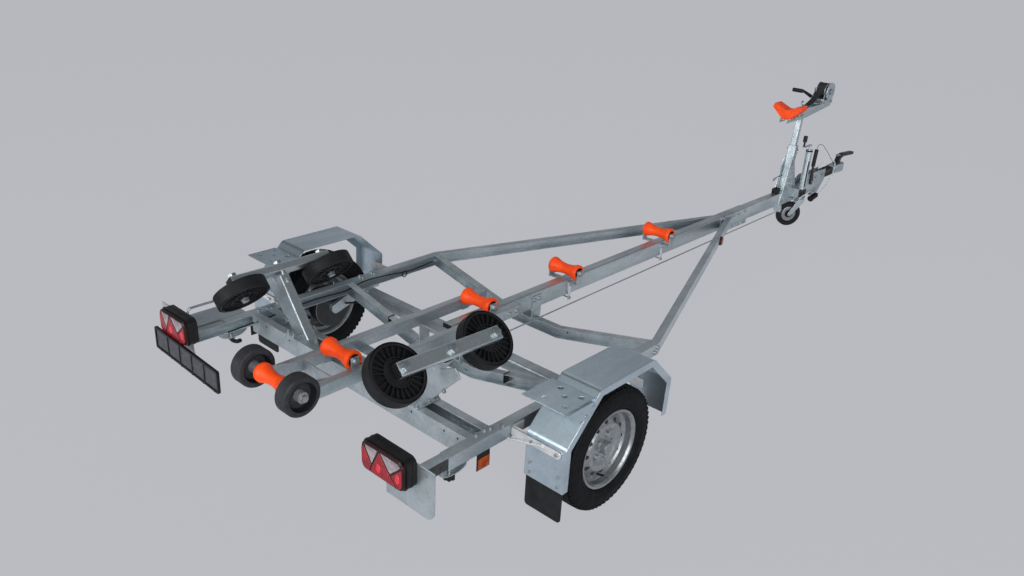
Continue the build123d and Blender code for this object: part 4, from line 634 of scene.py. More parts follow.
# ---------------- what repeats
class Growth:
    """A Geometry Nodes tree with named inputs that is run once and turned into a plain mesh."""

    def __init__(self, name: str, sizes: dict[str, float]) -> None:
        """Starts the tree with one float input for each size, and one material input."""
        self.tree = bpy.data.node_groups.new(name, "GeometryNodeTree")
        face = self.tree.interface
        face.new_socket("Geometry", in_out="INPUT", socket_type="NodeSocketGeometry")
        for size, value in sizes.items():
            made = face.new_socket(size, in_out="INPUT", socket_type="NodeSocketInt" if isinstance(value, int)
                                   else "NodeSocketFloat")
            made.default_value = value
        face.new_socket("Material", in_out="INPUT", socket_type="NodeSocketMaterial")
        face.new_socket("Geometry", in_out="OUTPUT", socket_type="NodeSocketGeometry")
        self.input = self.tree.nodes.new("NodeGroupInput").outputs

    def math(self, operation: str, first: Any, second: Any = 0.0) -> Socket:
        """Returns the result of a sum, product or function of one or two values."""
        node = add_node(self.tree, "ShaderNodeMath", {"operation": operation}, {0: first, 1: second})
        return node.outputs[0]

    def vector(self, x: Any = 0.0, y: Any = 0.0, z: Any = 0.0) -> Socket:
        """Returns a vector of three values or sockets."""
        return add_node(self.tree, "ShaderNodeCombineXYZ", inputs={0: x, 1: y, 2: z}).outputs[0]

    def end(self, geometry: Socket) -> None:
        """Closes the tree with Realize Instances and Set Material."""
        real = add_node(self.tree, "GeometryNodeRealizeInstances", inputs={0: geometry})
        dressed = add_node(self.tree, "GeometryNodeSetMaterial", inputs={
            "Geometry": real.outputs[0], "Material": self.input["Material"]})
        add_node(self.tree, "NodeGroupOutput", inputs={0: dressed.outputs[0]})

    def run(self, mesh: bpy.types.Mesh, finish: Finish, place: Matrix | None = None,
            **sizes: float) -> bpy.types.Mesh:
        """Runs the tree on a mesh.

        Args:
            mesh: Carrier of the points.
            finish: Finish of what grows.
            place: Matrix that the result is moved by in the chassis frame, if any.
            **sizes: Input values by name, with underscores for spaces.

        Returns:
            A plain mesh in the frame of the CAD nodes.
        """
        holder = bpy.data.objects.new("holder", mesh)
        bpy.context.collection.objects.link(holder)
        modifier = holder.modifiers.new("growth", "NODES")
        modifier.node_group = self.tree
        items = self.tree.interface.items_tree
        for name, value in sizes.items():
            modifier[items[name.replace("_", " ")].identifier] = value
        modifier[items["Material"].identifier] = finish.material()
        graph = bpy.context.evaluated_depsgraph_get()
        made = bpy.data.meshes.new_from_object(holder.evaluated_get(graph))
        bpy.data.objects.remove(holder)
        made.transform(Placement.chassis @ (place or Matrix.Identity(4)))
        if not made.materials:
            made.materials.append(finish.material())
        return made


def points_mesh(points: Sequence[Sequence[float]], axes: Sequence[Sequence[float]],
                sizes: Sequence[float]) -> bpy.types.Mesh:
    """Returns a mesh of loose points, each with an axis and a size that a tree can read."""
    mesh = bpy.data.meshes.new("points")
    mesh.from_pydata([tuple(point) for point in points], [], [])
    mesh.attributes.new("axis", "FLOAT_VECTOR", "POINT")
    mesh.attributes.new("size", "FLOAT", "POINT")
    axis, size = mesh.attributes["axis"].data, mesh.attributes["size"].data
    for i, (direction, scale) in enumerate(zip(axes, sizes)):
        axis[i].vector = Vector(direction).normalized()
        size[i].value = scale
    return mesh


def fastener_tree() -> Growth:
    """Returns the tree of a hexagonal head or nut on a round washer, with an optional thread end."""
    growth = Growth("fasteners", {"Across": 0.0085, "Head": 0.0064, "Washer": 0.01, "Gauge": 0.002,
                                  "Thread": 0.005, "Reach": 0.0})
    tree, given = growth.tree, growth.input
    parts = []
    for sides, radius, low, height in ((6, given["Across"], given["Gauge"], given["Head"]),
                                       (18, given["Washer"], 0.0, given["Gauge"]),
                                       (12, given["Thread"], given["Gauge"], given["Reach"])):
        stem = add_node(tree, "GeometryNodeMeshCylinder", inputs={
            "Vertices": sides, "Radius": radius, "Depth": height})
        middle = growth.math("ADD", low, growth.math("MULTIPLY", height, 0.5))
        parts.append(add_node(tree, "GeometryNodeTransform", inputs={
            "Geometry": stem.outputs[0], "Translation": growth.vector(z=middle)}).outputs[0])
    dome = add_node(tree, "GeometryNodeMeshCone", inputs={
        "Vertices": 12, "Radius Top": growth.math("MULTIPLY", given["Across"], 0.45),
        "Radius Bottom": growth.math("MULTIPLY", given["Across"], 0.84), "Depth": 0.0008})
    parts.append(add_node(tree, "GeometryNodeTransform", inputs={
        "Geometry": dome.outputs[0],
        "Translation": growth.vector(z=growth.math("ADD", given["Gauge"], given["Head"]))}).outputs[0])
    joined = add_node(tree, "GeometryNodeJoinGeometry")
    for part in parts:
        tree.links.new(part, joined.inputs[0])
    axis = add_node(tree, "GeometryNodeInputNamedAttribute", {"data_type": "FLOAT_VECTOR"}, {"Name": "axis"})
    size = add_node(tree, "GeometryNodeInputNamedAttribute", {"data_type": "FLOAT"}, {"Name": "size"})
    turn = add_node(tree, "FunctionNodeAlignRotationToVector", {"axis": "Z"}, {"Vector": axis.outputs[0]})
    placed = add_node(tree, "GeometryNodeInstanceOnPoints", inputs={
        "Points": given["Geometry"], "Instance": joined.outputs[0], "Rotation": turn.outputs[0],
        "Scale": size.outputs[0]})
    growth.end(placed.outputs[0])
    return growth


def wheel_tree() -> Growth:
    """Returns the tree of blocks set in a circle about Z, such as tread blocks, teeth or ribs."""
    growth = Growth("blocks_in_a_circle", {"Count": 60, "Radius": 0.28, "Length": 0.02, "Width": 0.02,
                                           "Height": 0.006, "Lean": 0.0, "Start": 0.0})
    tree, given = growth.tree, growth.input
    hoop = add_node(tree, "GeometryNodeMeshCircle", inputs={
        "Vertices": given["Count"], "Radius": given["Radius"]})
    block = add_node(tree, "GeometryNodeMeshCube", inputs={
        "Size": growth.vector(given["Height"], given["Length"], given["Width"])})
    leant = add_node(tree, "GeometryNodeTransform", inputs={
        "Geometry": block.outputs[0], "Rotation": growth.vector(x=given["Lean"])})
    out = add_node(tree, "GeometryNodeInputPosition")
    turn = add_node(tree, "FunctionNodeAlignRotationToVector", {"axis": "X", "pivot_axis": "Z"}, {
        "Vector": out.outputs[0]})
    placed = add_node(tree, "GeometryNodeInstanceOnPoints", inputs={
        "Points": hoop.outputs[0], "Instance": leant.outputs[0], "Rotation": turn.outputs[0]})
    turned = add_node(tree, "GeometryNodeTransform", inputs={
        "Geometry": placed.outputs[0], "Rotation": growth.vector(z=given["Start"])})
    growth.end(turned.outputs[0])
    return growth


def row_tree() -> Growth:
    """Returns the tree of equal blocks in a row along Y, such as ribs or slats."""
    growth = Growth("blocks_in_a_row", {"Count": 5, "Pitch": 0.1, "Depth": 0.004, "Width": 0.004,
                                        "Height": 0.1})
    tree, given = growth.tree, growth.input
    first = growth.math("MULTIPLY", growth.math("SUBTRACT", given["Count"], 1.0),
                        growth.math("MULTIPLY", given["Pitch"], -0.5))
    line = add_node(tree, "GeometryNodeMeshLine", inputs={
        "Count": given["Count"], "Start Location": growth.vector(y=first),
        "Offset": growth.vector(y=given["Pitch"])})
    block = add_node(tree, "GeometryNodeMeshCube", inputs={
        "Size": growth.vector(given["Depth"], given["Width"], given["Height"])})
    placed = add_node(tree, "GeometryNodeInstanceOnPoints", inputs={
        "Points": line.outputs[0], "Instance": block.outputs[0]})
    growth.end(placed.outputs[0])
    return growth


class Workshop:
    """The three trees, made once, and what the two without points grow."""

    def __init__(self) -> None:
        """Makes the trees."""
        self.fasteners = fastener_tree()
        self.wheel = wheel_tree()
        self.row = row_tree()

    def ring(self, finish: Finish, place: Matrix, **sizes: float) -> bpy.types.Mesh:
        """Grows blocks in a circle about the place's Z axis."""
        return self.wheel.run(bpy.data.meshes.new("carrier"), finish, place, **sizes)

    def line(self, finish: Finish, place: Matrix, **sizes: float) -> bpy.types.Mesh:
        """Grows blocks in a row along the place's Y axis."""
        return self.row.run(bpy.data.meshes.new("carrier"), finish, place, **sizes)


@dataclass
class Fasteners:
    """Bolts and nuts, gathered by body and grown together at the end.

    Attributes:
        shop: The trees.
        places: Point, axis and size of each fastener, by body and whether its thread shows.
    """

    shop: Workshop
    places: dict[tuple[str, bool], list[tuple[Point, Point, float]]] = field(default_factory=dict)

    def bolt(self, body: str, at: Sequence[float], axis: Sequence[float], size: float = 10.0,
             nut: bool = False) -> None:
        """Adds one fastener.

        Args:
            body: CAD body that it rides on.
            at: Where its washer lies, in the chassis frame.
            axis: Direction of its head.
            size: Metric thread size in millimetres.
            nut: Whether it is a nut with the thread's end showing.
        """
        self.places.setdefault((body, nut), []).append((tuple(at), tuple(axis), size / 10))

    def pairs(self, places: Iterable[Sequence[float]], axis: Point = OUT, size: float = 10.0,
              nut: bool = False) -> None:
        """Adds fasteners to the chassis on both sides of the centre plane, each pair mirrored.

        Args:
            places: Where the washers lie on the left side, in the chassis frame.
            axis: Direction of the heads on the left side.
            size: Metric thread size in millimetres.
            nut: Whether they are nuts with the threads' ends showing.
        """
        for side, (x, y, z) in product(SIDES, tuple(places)):
            self.bolt("chassis", (x, side * y, z), (axis[0], side * axis[1], axis[2]), size, nut)

    def build(self) -> None:
        """Grows every fastener, one piece for each body and kind."""
        for (body, nut), places in sorted(self.places.items()):
            points, axes, sizes = zip(*places)
            made = self.shop.fasteners.run(points_mesh(points, axes, sizes), BRIGHT_ZINC,
                                           Reach=0.013 if nut else 0.0, Across=0.0092 if nut else 0.0098)
            settle(f"{body}_{'nuts' if nut else 'bolts'}", made, body)


# ---------------- running gear
@dataclass
class RoadWheel:
    """A 165/70 R13 tyre with its tread, and what is bolted to the wheel's face.

    Attributes:
        shop: Trees that grow what repeats.
        crown: Radius of the tread.
        groove: Radius at the bottom of the tread's grooves.
        bead: Radius at which the tyre sits on the rim.
        rib_half: Half width of the rib round the middle of the tread.
        blocks: Tread blocks round the tyre in one row.
        block_height: Height of a tread block.
        rows: Shift from the middle, width, lean and drop below the crown of each row of blocks.
        studs: Radius of the bolt circle.
        vents: Radius of the circle of vent holes.
        face: Distance of the wheel's bolting face from its centre plane.
        valve: Distance out of the wheel's centre plane and below its axle of points along the valve.
        brake_route: Points of the left brake cable from under the axle to its backplate, after its two
            points at the rod's lug.
        backplate: Distance of a backplate's inner face from the trailer's centre plane.
    """

    shop: Workshop
    crown: float = 0.2825
    groove: float = 0.2768
    bead: float = 0.1695
    rib_half: float = 0.0105
    blocks: int = 62
    block_height: float = 0.0062
    rows: tuple[tuple[float, float, float, float], ...] = (
        (0.0255, 0.02, 0.3, 0.0), (-0.0255, 0.02, -0.3, 0.0),
        (0.05, 0.021, 0.12, 0.0012), (-0.05, 0.021, -0.12, 0.0012))
    studs: float = 0.056
    vents: float = 0.1195
    face: float = 0.034
    valve: tuple[Pair, ...] = ((0.018, 0.149), (0.035, 0.146), (0.052, 0.14))
    brake_route: tuple[Point, ...] = (
        (0.06, 0.09, 0.262), (0.085, 0.307, 0.302), (0.092, 0.513, 0.337), (0.088, 0.7, 0.332),
        (0.066, 0.82, 0.3), (0.052, 0.862, 0.282))
    backplate: float = 0.8615

    def section(self) -> list[Pair]:
        """Returns the tyre's closed section, with circumferential ribs on tread and wall."""
        half = [(self.crown, 0.0), (self.crown, self.rib_half), (self.groove, self.rib_half + 0.001),
                (self.groove, 0.045), (self.groove - 0.0005, 0.055), (0.2735, 0.0665), (0.268, 0.0725),
                (0.2625, 0.0762), (0.2622, 0.0782), (0.2585, 0.0785), (0.2578, 0.0772), (0.245, 0.0798),
                (0.232, 0.0818), (0.222, 0.0825), (0.2125, 0.082), (0.212, 0.0808), (0.2035, 0.08),
                (0.203, 0.0815), (0.1975, 0.08), (0.1935, 0.0768), (0.187, 0.0716), (0.182, 0.0618),
                (self.bead, 0.056), (self.bead, 0.034), (0.21, 0.066), (0.23, 0.069), (0.268, 0.054)]
        return half + [(r, -h) for r, h in reversed(half[1:])]

    def tyre(self, side: int) -> None:
        """Builds one tyre: turned carcass, four rows of tread blocks and lugs on both shoulders."""
        name = SIDE_NAMES[side]
        body = f"{name}_wheel"
        place = facing((0, side * TRACK_HALF, AXLE_HEIGHT), (0, side, 0))
        carcass = Shape(f"tyre_carcass_{name}")
        carcass.turned(self.section(), place, TYRE_RUBBER, segments=120)
        carcass.done(body, (f"tyre_{name}",))
        for row, (shift, width, lean, drop) in enumerate(self.rows):
            blocks = self.shop.ring(
                TYRE_RUBBER, place @ Matrix.Translation((0, 0, shift)), Count=self.blocks,
                Radius=self.crown - drop - self.block_height / 2, Height=self.block_height, Length=0.0225,
                Width=width, Lean=lean, Start=0.05 * row)
            settle(f"tread_row_{row + 1}_{name}", blocks, body)
        for way, label in ((1, "outer"), (-1, "inner")):
            lugs = self.shop.ring(
                TYRE_RUBBER, place @ Matrix.Translation((0, 0, way * 0.0655)), Count=self.blocks,
                Radius=self.crown - 0.0095, Height=0.0085, Length=0.0185, Width=0.013, Lean=0.1 * way)
            settle(f"shoulder_lugs_{label}_{name}", lugs, body)

    def hub(self, side: int, fasteners: Fasteners) -> None:
        """Adds the wheel bolts, a pressed hub cap, the valve and the shadow in the vent holes."""
        name = SIDE_NAMES[side]
        face = side * (TRACK_HALF + self.face)
        for across, up in circle(self.studs, 5):
            fasteners.bolt(f"{name}_wheel", (across, face, AXLE_HEIGHT + up), (0, side, 0), 12)
        place = facing((0, face, AXLE_HEIGHT), (0, side, 0))
        cap = Shape(f"hub_cap_{name}")
        cap.turned([(0.0284, 0.0), (0.0335, 0.0), (0.033, 0.0022), (0.03, 0.003), (0.0298, 0.024),
                    (0.027, 0.0292), (0.02, 0.0306), (0.009, 0.0316), (0.0004, 0.0318), (0.0004, 0.0286),
                    (0.019, 0.0284), (0.0284, 0.024)], place, RIM_PAINT)
        cap.tube([(0, side * (TRACK_HALF + out), AXLE_HEIGHT - drop) for out, drop in self.valve],
                 0.0048, BLACK_RUBBER)
        for across, up in circle(self.vents, 12):
            cap.disc(0.0128, 0.0012, place @ Matrix.Translation((across, up, 0.001)), HOLLOW, 0.0004, 16)
        cap.done(f"{name}_wheel")

    def brake_cables(self) -> None:
        """Leads a sheathed cable from the rod's lug to each backplate and covers the backplates with dark
        discs of painted shade.
        """
        cables = Shape("brake_cables")
        for side in SIDES:
            cables.tube([(0.214, -0.075 + side * 0.012, 0.322), (0.135, -0.06 + side * 0.015, 0.286),
                         *((x, side * y, z) for x, y, z in self.brake_route)], 0.0055, BLACK_PLASTIC, steps=8)
            # Painted shade: a dark disc over the backplate, which stands in shadow inside the wheel.
            cables.disc(0.1115, 0.0012, facing((0, side * self.backplate, AXLE_HEIGHT), (0, -side, 0)),
                        DARK_STEEL, 0.0004, 48)
        cables.done("chassis")

    def build(self, fasteners: Fasteners) -> None:
        """Builds both wheels' pieces."""
        for side in SIDES:
            self.tyre(side)
            self.hub(side, fasteners)
        self.brake_cables()


@dataclass
class Mudguard:
    """What is bolted to the folded mudguards: rear plate, step gusset and fixings.

    Attributes:
        wall: Outer face of the guard's upright rear wall.
        front: Outer face of its front wall.
        outer: Distance of the guard's outer face from the centre plane.
        plate: Inner and outer end, bottom and top of the plate across the rear wall.
        plate_gauge: Thickness of that plate.
        gusset_outline: Corners of the step's downturned triangle, along the trailer and up.
        gusset_gauge: Thickness of the gusset.
    """

    wall: float = -0.353
    front: float = 0.3665
    outer: float = 1.079
    plate: tuple[float, float, float, float] = (0.802, 1.058, 0.402, 0.436)
    plate_gauge: float = 0.004
    gusset_outline: tuple[Pair, ...] = (
        (-0.366, 0.6165), (-0.29, 0.553), (-0.236, 0.553), (-0.19, 0.606), (-0.2, 0.6165))
    gusset_gauge: float = 0.003

    def rear_plate(self, side: int) -> None:
        """Lays the flat plate with its round end across the rear wall."""
        inner, outer, low, high = self.plate
        radius = (high - low) / 2
        turn = outer - radius
        outline = [(-inner, low), (-turn, low)]
        outline += [(-turn - radius * math.sin(a), low + radius - radius * math.cos(a))
                    for a in (math.pi * k / 8 for k in range(1, 8))]
        outline += [(-turn, high), (-inner, high)]
        shape = Shape(f"guard_plate_{SIDE_NAMES[side]}")
        place = columns((0, -side, 0), UP, BACK, (self.wall, 0, 0))
        shape.prism(outline, self.plate_gauge, place, PALE_ZINC, 0.0008)
        shape.done("chassis")

    def gusset(self, side: int) -> None:
        """Adds the step's downturned triangle on the guard's outer lip."""
        shape = Shape(f"step_gusset_{SIDE_NAMES[side]}")
        place = columns(AHEAD, UP, (0, side, 0), (0, side * self.outer, 0))
        shape.prism(self.gusset_outline, self.gusset_gauge, place, GALVANISED_SHEET, 0.0006)
        shape.done("chassis")

    def build(self, fasteners: Fasteners) -> None:
        """Builds both sides and bolts plates, gussets, flaps and stays to the guards."""
        for side in SIDES:
            self.rear_plate(side)
            self.gusset(side)
        _, _, low, high = self.plate
        fasteners.pairs(product((self.wall - self.plate_gauge,), (0.911, 1.038), ((low + high) / 2,)), BACK,
                        8)
        gusset = self.outer + self.gusset_gauge
        fasteners.pairs([(-0.248, gusset, 0.568), (-0.206, gusset, 0.601)], OUT, 6)
        fasteners.pairs(product((self.wall + 0.0005,), (0.905, 1.05), (0.272, 0.318)), BACK, 6)
        fasteners.pairs(product((self.front,), (0.905, 1.045), (0.4,)), AHEAD, 8)


# ---------------- side bogies
@dataclass
class Bogie:
    """Fixings of one rocking beam with two finned wheels, and of the clamp that its post stands in.

    Attributes:
        pivot_x: Place of the pivot along the trailer.
        pivot_y: Distance of the wheels' middle from the centre plane.
        heights: Height of each side's pivot.
        slopes: How far each beam hangs nose-down, in degrees.
        tilt: Lean of the wheels in degrees.
        spacing: Distance between the two wheels.
        beam_middle: Distance of the beam's middle from the wheels' centre plane.
        beam_face: Distance of its outer face from that plane.
        beam_half: Half length of the beam.
        radius: Radius of a wheel's tread.
        ribs: Where the ribs run round the tread, from the wheel's centre plane.
        pin: Place along the trailer, out and up of the middle of the post pin's spring clip.
    """

    pivot_x: float = -0.4905
    pivot_y: float = 0.534
    heights: dict[int, float] = field(default_factory=lambda: {1: 0.684, -1: 0.696})
    slopes: dict[int, float] = field(default_factory=lambda: {1: 0.3, -1: 1.9})
    tilt: float = 44.0
    spacing: float = 0.475
    beam_middle: float = 0.062
    beam_face: float = 0.082
    beam_half: float = 0.2652
    radius: float = 0.123
    ribs: tuple[float, ...] = (-0.0235, -0.0118, 0.0, 0.0118, 0.0235)
    pin: Point = (-0.552, 0.372, 0.424)

    def frame(self, side: int) -> tuple[Vector, Vector, Vector]:
        """Returns the pivot, the direction along the beam and the outward direction of its axles."""
        tilt, slope = math.radians(self.tilt) * side, math.radians(self.slopes[side])
        along = Vector((math.cos(slope), math.sin(slope) * math.sin(tilt), -math.sin(slope) * math.cos(tilt)))
        outward = Vector((0, math.cos(tilt), math.sin(tilt))) * side
        return Vector((self.pivot_x, side * self.pivot_y, self.heights[side])), along, outward

    def treads(self, side: int) -> None:
        """Runs five ribs round each wheel's tread and two beads round each of its faces."""
        pivot, along, outward = self.frame(side)
        rib = ((-0.0008, -0.005), (0.0012, -0.0042), (0.0016, 0.0), (0.0012, 0.0042), (-0.0008, 0.005))
        gauge = 0.0017
        for way, name in ((1, "front"), (-1, "rear")):
            place = facing(pivot + along * (way * self.spacing / 2), outward)
            shape = Shape(f"bogie_tread_{SIDE_NAMES[side]}_{name}")
            for h in self.ribs:
                profile = [(self.radius + out, h + shift) for out, shift in rib]
                shape.turned(profile, place, BLACK_RUBBER, segments=72)
            for h in (-0.0302, 0.0285):
                for low, high, segments in ((0.0585, 0.063, 40),
                                            (self.radius - 0.015, self.radius - 0.01, 72)):
                    profile = [(low, h), (high, h), (high, h + gauge), (low, h + gauge)]
                    shape.turned(profile, place, BLACK_RUBBER, segments)
            shape.done(f"{SIDE_NAMES[side]}_{name}_bogie_wheel")

    def beam(self, side: int, fasteners: Fasteners) -> None:
        """Adds the axle nuts, the pivot bolt and thin dark plates of painted shade in the beam's hollow ends.
        """
        body = f"{SIDE_NAMES[side]}_bogie"
        pivot, along, outward = self.frame(side)
        hollow_end_shade = Shape(f"beam_end_shade_{SIDE_NAMES[side]}")
        for way in (1, -1):
            axle = pivot + along * (way * self.spacing / 2)
            fasteners.bolt(body, axle + outward * (self.beam_face + 0.0005), outward, 20)
            fasteners.bolt(body, axle - outward * 0.0305, -outward, 18)
            end = pivot + along * (way * self.beam_half) + outward * self.beam_middle
            # Painted shade: a thin dark plate in the beam's hollow end.
            hollow_end_shade.prism([(-0.0292, -0.0192), (0.0292, -0.0192), (0.0292, 0.0192), (-0.0292, 0.0192)], 0.003,
                        facing(end, along * way, outward.cross(along) * side), BLACK_PLASTIC, 0.0012)
        fasteners.bolt("chassis", pivot + outward * (self.beam_face + 0.0008), outward, 20)
        hollow_end_shade.done(body)

    def post_pin(self, side: int) -> None:
        """Puts a pin with its spring clip through the post."""
        shape = Shape(f"post_pin_{SIDE_NAMES[side]}")
        x, y, z = self.pin
        ring = [(x, side * y + across, z + up) for across, up in circle(0.02, 14)]
        shape.tube([*ring, ring[0]], 0.0016, BRIGHT_ZINC, steps=2, segments=8)
        shape.tube([(-0.5625, side * y, z + 0.02), (-0.44, side * y, z + 0.02)], 0.005, BRIGHT_ZINC)
        shape.done("chassis")

    def build(self, fasteners: Fasteners) -> None:
        """Builds both sides and bolts the clamp bars and the posts."""
        for side in SIDES:
            self.treads(side)
            self.beam(side, fasteners)
            self.post_pin(side)
        fasteners.pairs(product((-0.552, -0.442), (0.41, 0.454), (0.456,)), UP, 12, nut=True)
        fasteners.pairs([(-0.522, y, 0.495 + (y - 0.5) * 0.95) for y in (0.5, 0.585)], BACK)


# ---------------- rollers
@dataclass
class Rollers:
    """End cups of the keel rollers, hubs of the rear wheels and the nuts on their axles.

    Attributes:
        keel: Place along the trailer and height of each keel roller, and whether the drawbar carries it.
        rear: Place of the rear roller's axis.
        half: Half length of a roller.
        arm: Distance of an arm's outer face from the centre plane.
        wheel_y: Distance of a rear wheel's middle from the centre plane.
        axle_end: Distance of the rear axle's nuts from the centre plane.
        strap: Inner and outer face of the straps that clamp a carrier to the drawbar.
        strap_bolts: Heights of the bolts through a strap.
    """

    keel: tuple[tuple[float, float, bool], ...] = (
        (1.878, 0.528, True), (0.955, 0.524, True), (0.267, 0.53, False), (-0.586, 0.538, False))
    rear: Pair = (-0.917, 0.532)
    half: float = 0.0935
    arm: float = 0.1005
    wheel_y: float = 0.16
    axle_end: float = 0.1985
    strap: Pair = (0.035, 0.0385)
    strap_bolts: Pair = (DRAWBAR_BOTTOM - 0.018, DRAWBAR_TOP - 0.034)

    def cups(self, x: float, z: float, body: str) -> None:
        """Sets a black bearing cup in each end of a roller."""
        shape = Shape(f"end_cups_{body}")
        for side in SIDES:
            place = facing((x, side * (self.half - 0.0102), z), (0, side, 0))
            shape.turned([(0.0085, 0.0), (0.0292, 0.0), (0.0305, 0.0098), (0.027, 0.0098), (0.0215, 0.003),
                          (0.0135, 0.004), (0.013, 0.0096), (0.0085, 0.0096)], place, BLACK_PLASTIC)
        shape.done(body)

    def straps(self, fasteners: Fasteners) -> None:
        """Clamps the drawbar's carriers with a flat leg down each side and a bolt below the drawbar."""
        shape = Shape("carrier_straps")
        inner, outer = self.strap
        low, _ = self.strap_bolts
        for x in (x for x, _, on_drawbar in self.keel if on_drawbar):
            for side in SIDES:
                shape.block((x - 0.011, side * inner, DRAWBAR_BOTTOM - 0.032),
                            (x + 0.011, side * outer, DRAWBAR_TOP - 0.02), PALE_ZINC)
            shape.tube([(x, -0.037, low), (x, 0.037, low)], 0.004, BRIGHT_ZINC)
            fasteners.pairs(product((x,), (outer,), self.strap_bolts), OUT, 8)
        shape.done("chassis")

    def hubs(self) -> None:
        """Sets a grey hub and a dark shoulder ring in both faces of the rear wheels."""
        x, z = self.rear
        shape = Shape("rear_wheel_hubs")
        for side, face in product(SIDES, SIDES):
            place = facing((x, side * self.wheel_y + face * 0.0082, z), (0, face, 0))
            shape.turned([(0.0085, 0.0), (0.0275, 0.0), (0.0262, 0.006), (0.0252, 0.0285), (0.0225, 0.0306),
                          (0.0085, 0.0306)], place, GREY_PLASTIC)
            shape.turned([(0.0555, 0.0), (0.059, 0.0), (0.0655, 0.0285), (0.063, 0.0285)], place,
                         BLACK_RUBBER)
        shape.done("keel_roller_rear")

    def build(self, fasteners: Fasteners) -> None:
        """Builds the cups, hubs, straps and nuts."""
        for number, (x, z, _) in enumerate(self.keel, 1):
            self.cups(x, z, f"keel_roller_{number}")
        self.straps(fasteners)
        self.cups(*self.rear, "keel_roller_rear")
        self.hubs()
        fasteners.pairs([(x, self.arm, z) for x, z, _ in self.keel], OUT, 16)
        fasteners.pairs([(self.rear[0], self.axle_end, self.rear[1])], OUT, 16)


# ---------------- frame
@dataclass
class Frame:
    """Fixings, cables and markers along the drawbar, rails and braces.

    Attributes:
        bolt_grids: Bolts in rows: places along the trailer, distances out, heights, axis and thread.
        lone_bolts: Bolts that stand by themselves: place, axis.
        holes: Open holes in the cross-members' rear faces: radius and place.
        rail_route: Points of the cable along a side rail, from front to rear.
        cross_route: Points of the cable under the rear cross-member, from the rail inwards.
        drawbar_route: Place along the trailer and height of points of the cable on the drawbar's left side.
        brace_angle: Turn of the left brace against the drawbar.
    """

    bolt_grids: tuple[tuple[tuple[float, ...], tuple[float, ...], tuple[float, ...], Point, float], ...] = (
        ((2.665,), (DRAWBAR_FACE,), (0.452,), OUT, 10),
        ((2.79, 2.865, 2.95), (DRAWBAR_FACE,), (0.372, 0.452), OUT, 10),
        ((0.66, 0.7), (DRAWBAR_FACE,), (0.43,), OUT, 10),
        ((0.345, 0.395), (0.14,), (0.485,), OUT, 10),
        ((0.0, 0.045), (0.145,), (0.48,), OUT, 10),
        ((-0.527, -0.467), (0.14,), (0.485,), OUT, 10),
        ((0.135, 0.215), (0.762, 0.788), (RAIL_TOP,), UP, 10),
        ((0.7052,), (0.762,), (0.405, 0.435), AHEAD, 8))
    lone_bolts: tuple[tuple[Point, Point], ...] = (
        ((0.669, RAIL_OUTER, 0.409), OUT), ((0.691, RAIL_OUTER, 0.431), OUT),
        ((0.029, RAIL_OUTER, 0.409), OUT), ((0.051, RAIL_OUTER, 0.431), OUT),
        ((-0.517, 0.762, RAIL_TOP), UP), ((-0.467, 0.757, RAIL_TOP), UP),
        ((-0.44, 0.765, RAIL_TOP), UP), ((-0.391, 0.786, RAIL_TOP), UP))
    holes: tuple[tuple[float, Point], ...] = (
        (0.005, (-0.562, 0.432, 0.427)), (0.005, (-0.562, 0.627, 0.427)),
        (0.005, (-0.562, 0.704, 0.427)), (0.0055, (0.66, 0.272, 0.325)))
    rail_route: tuple[Point, ...] = (
        (0.64, 0.744, 0.424), (0.46, 0.745, 0.412), (0.3, 0.745, 0.428), (0.135, 0.745, 0.437),
        (0.0, 0.745, 0.416), (-0.2, 0.745, 0.424), (-0.4, 0.745, 0.412), (-0.6, 0.744, 0.405),
        (-0.7, 0.744, 0.4))
    cross_route: tuple[Point, ...] = (
        (-0.527, 0.742, 0.37), (-0.525, 0.55, 0.366), (-0.526, 0.42, 0.358), (-0.527, 0.25, 0.366),
        (-0.527, 0.1, 0.362))
    drawbar_route: tuple[Pair, ...] = (
        (3.75, 0.372), (3.0, 0.3745), (2.2, 0.3735), (1.4, 0.3748), (0.7, 0.372))
    brace_angle: float = math.atan2(0.765, 2.07)

    def bolts(self, fasteners: Fasteners) -> None:
        """Bolts the cross-members, keel rails and braces together."""
        for along, out, up, axis, thread in self.bolt_grids:
            fasteners.pairs(product(along, out, up), axis, thread)
        for place, axis in self.lone_bolts:
            fasteners.pairs([place], axis)

    def hole_marks(self) -> None:
        """Marks the open holes in the cross-members' faces with dark discs of painted shadow."""
        shape = Shape("open_holes")
        for side, (radius, (x, y, z)) in product(SIDES, self.holes):
            shape.disc(radius, 0.0007, facing((x, side * y, z), BACK), HOLLOW, 0.0002, 16)
        shape.done("chassis")

    def hollow_end_shade(self) -> None:
        """Puts thin dark blocks of painted shade in the hollow ends of the keel rails and the drawbar."""
        shape = Shape("tube_end_shade")
        for side, (rear, front) in product(SIDES, ((-0.8195, -0.8145), (0.4195, 0.4235))):
            shape.block((rear, side * KEEL_Y - 0.019, KEEL_BOTTOM + 0.001),
                        (front, side * KEEL_Y + 0.019, KEEL_TOP - 0.001), BLACK_PLASTIC)
        shape.block((0.0465, -0.029, DRAWBAR_BOTTOM + 0.001), (0.0505, 0.029, DRAWBAR_TOP - 0.001),
                    BLACK_PLASTIC)
        shape.done("chassis")

    def cables(self) -> None:
        """Clips the lighting cable along the drawbar, the cross-members and into the light booms."""
        shape = Shape("clipped_cables")
        for side, route in product(SIDES, (self.rail_route, self.cross_route)):
            shape.tube([(x, side * y, z) for x, y, z in route], CABLE, BLACK_PLASTIC, segments=8)
        loop = [(0.415 + across, 0.7405, 0.404 + up) for across, up in circle(0.017, 16)]
        shape.tube([*loop, loop[0]], 0.0028, BLACK_PLASTIC, steps=2, segments=8)
        shape.tube([(x, 0.0335, z) for x, z in self.drawbar_route], CABLE, BLACK_PLASTIC, segments=8)
        for side in SIDES:
            shape.block((0.0188, side * 0.409, 0.3238), (0.0612, side * 0.413, 0.3762), BLACK_PLASTIC)
        shape.done("chassis")

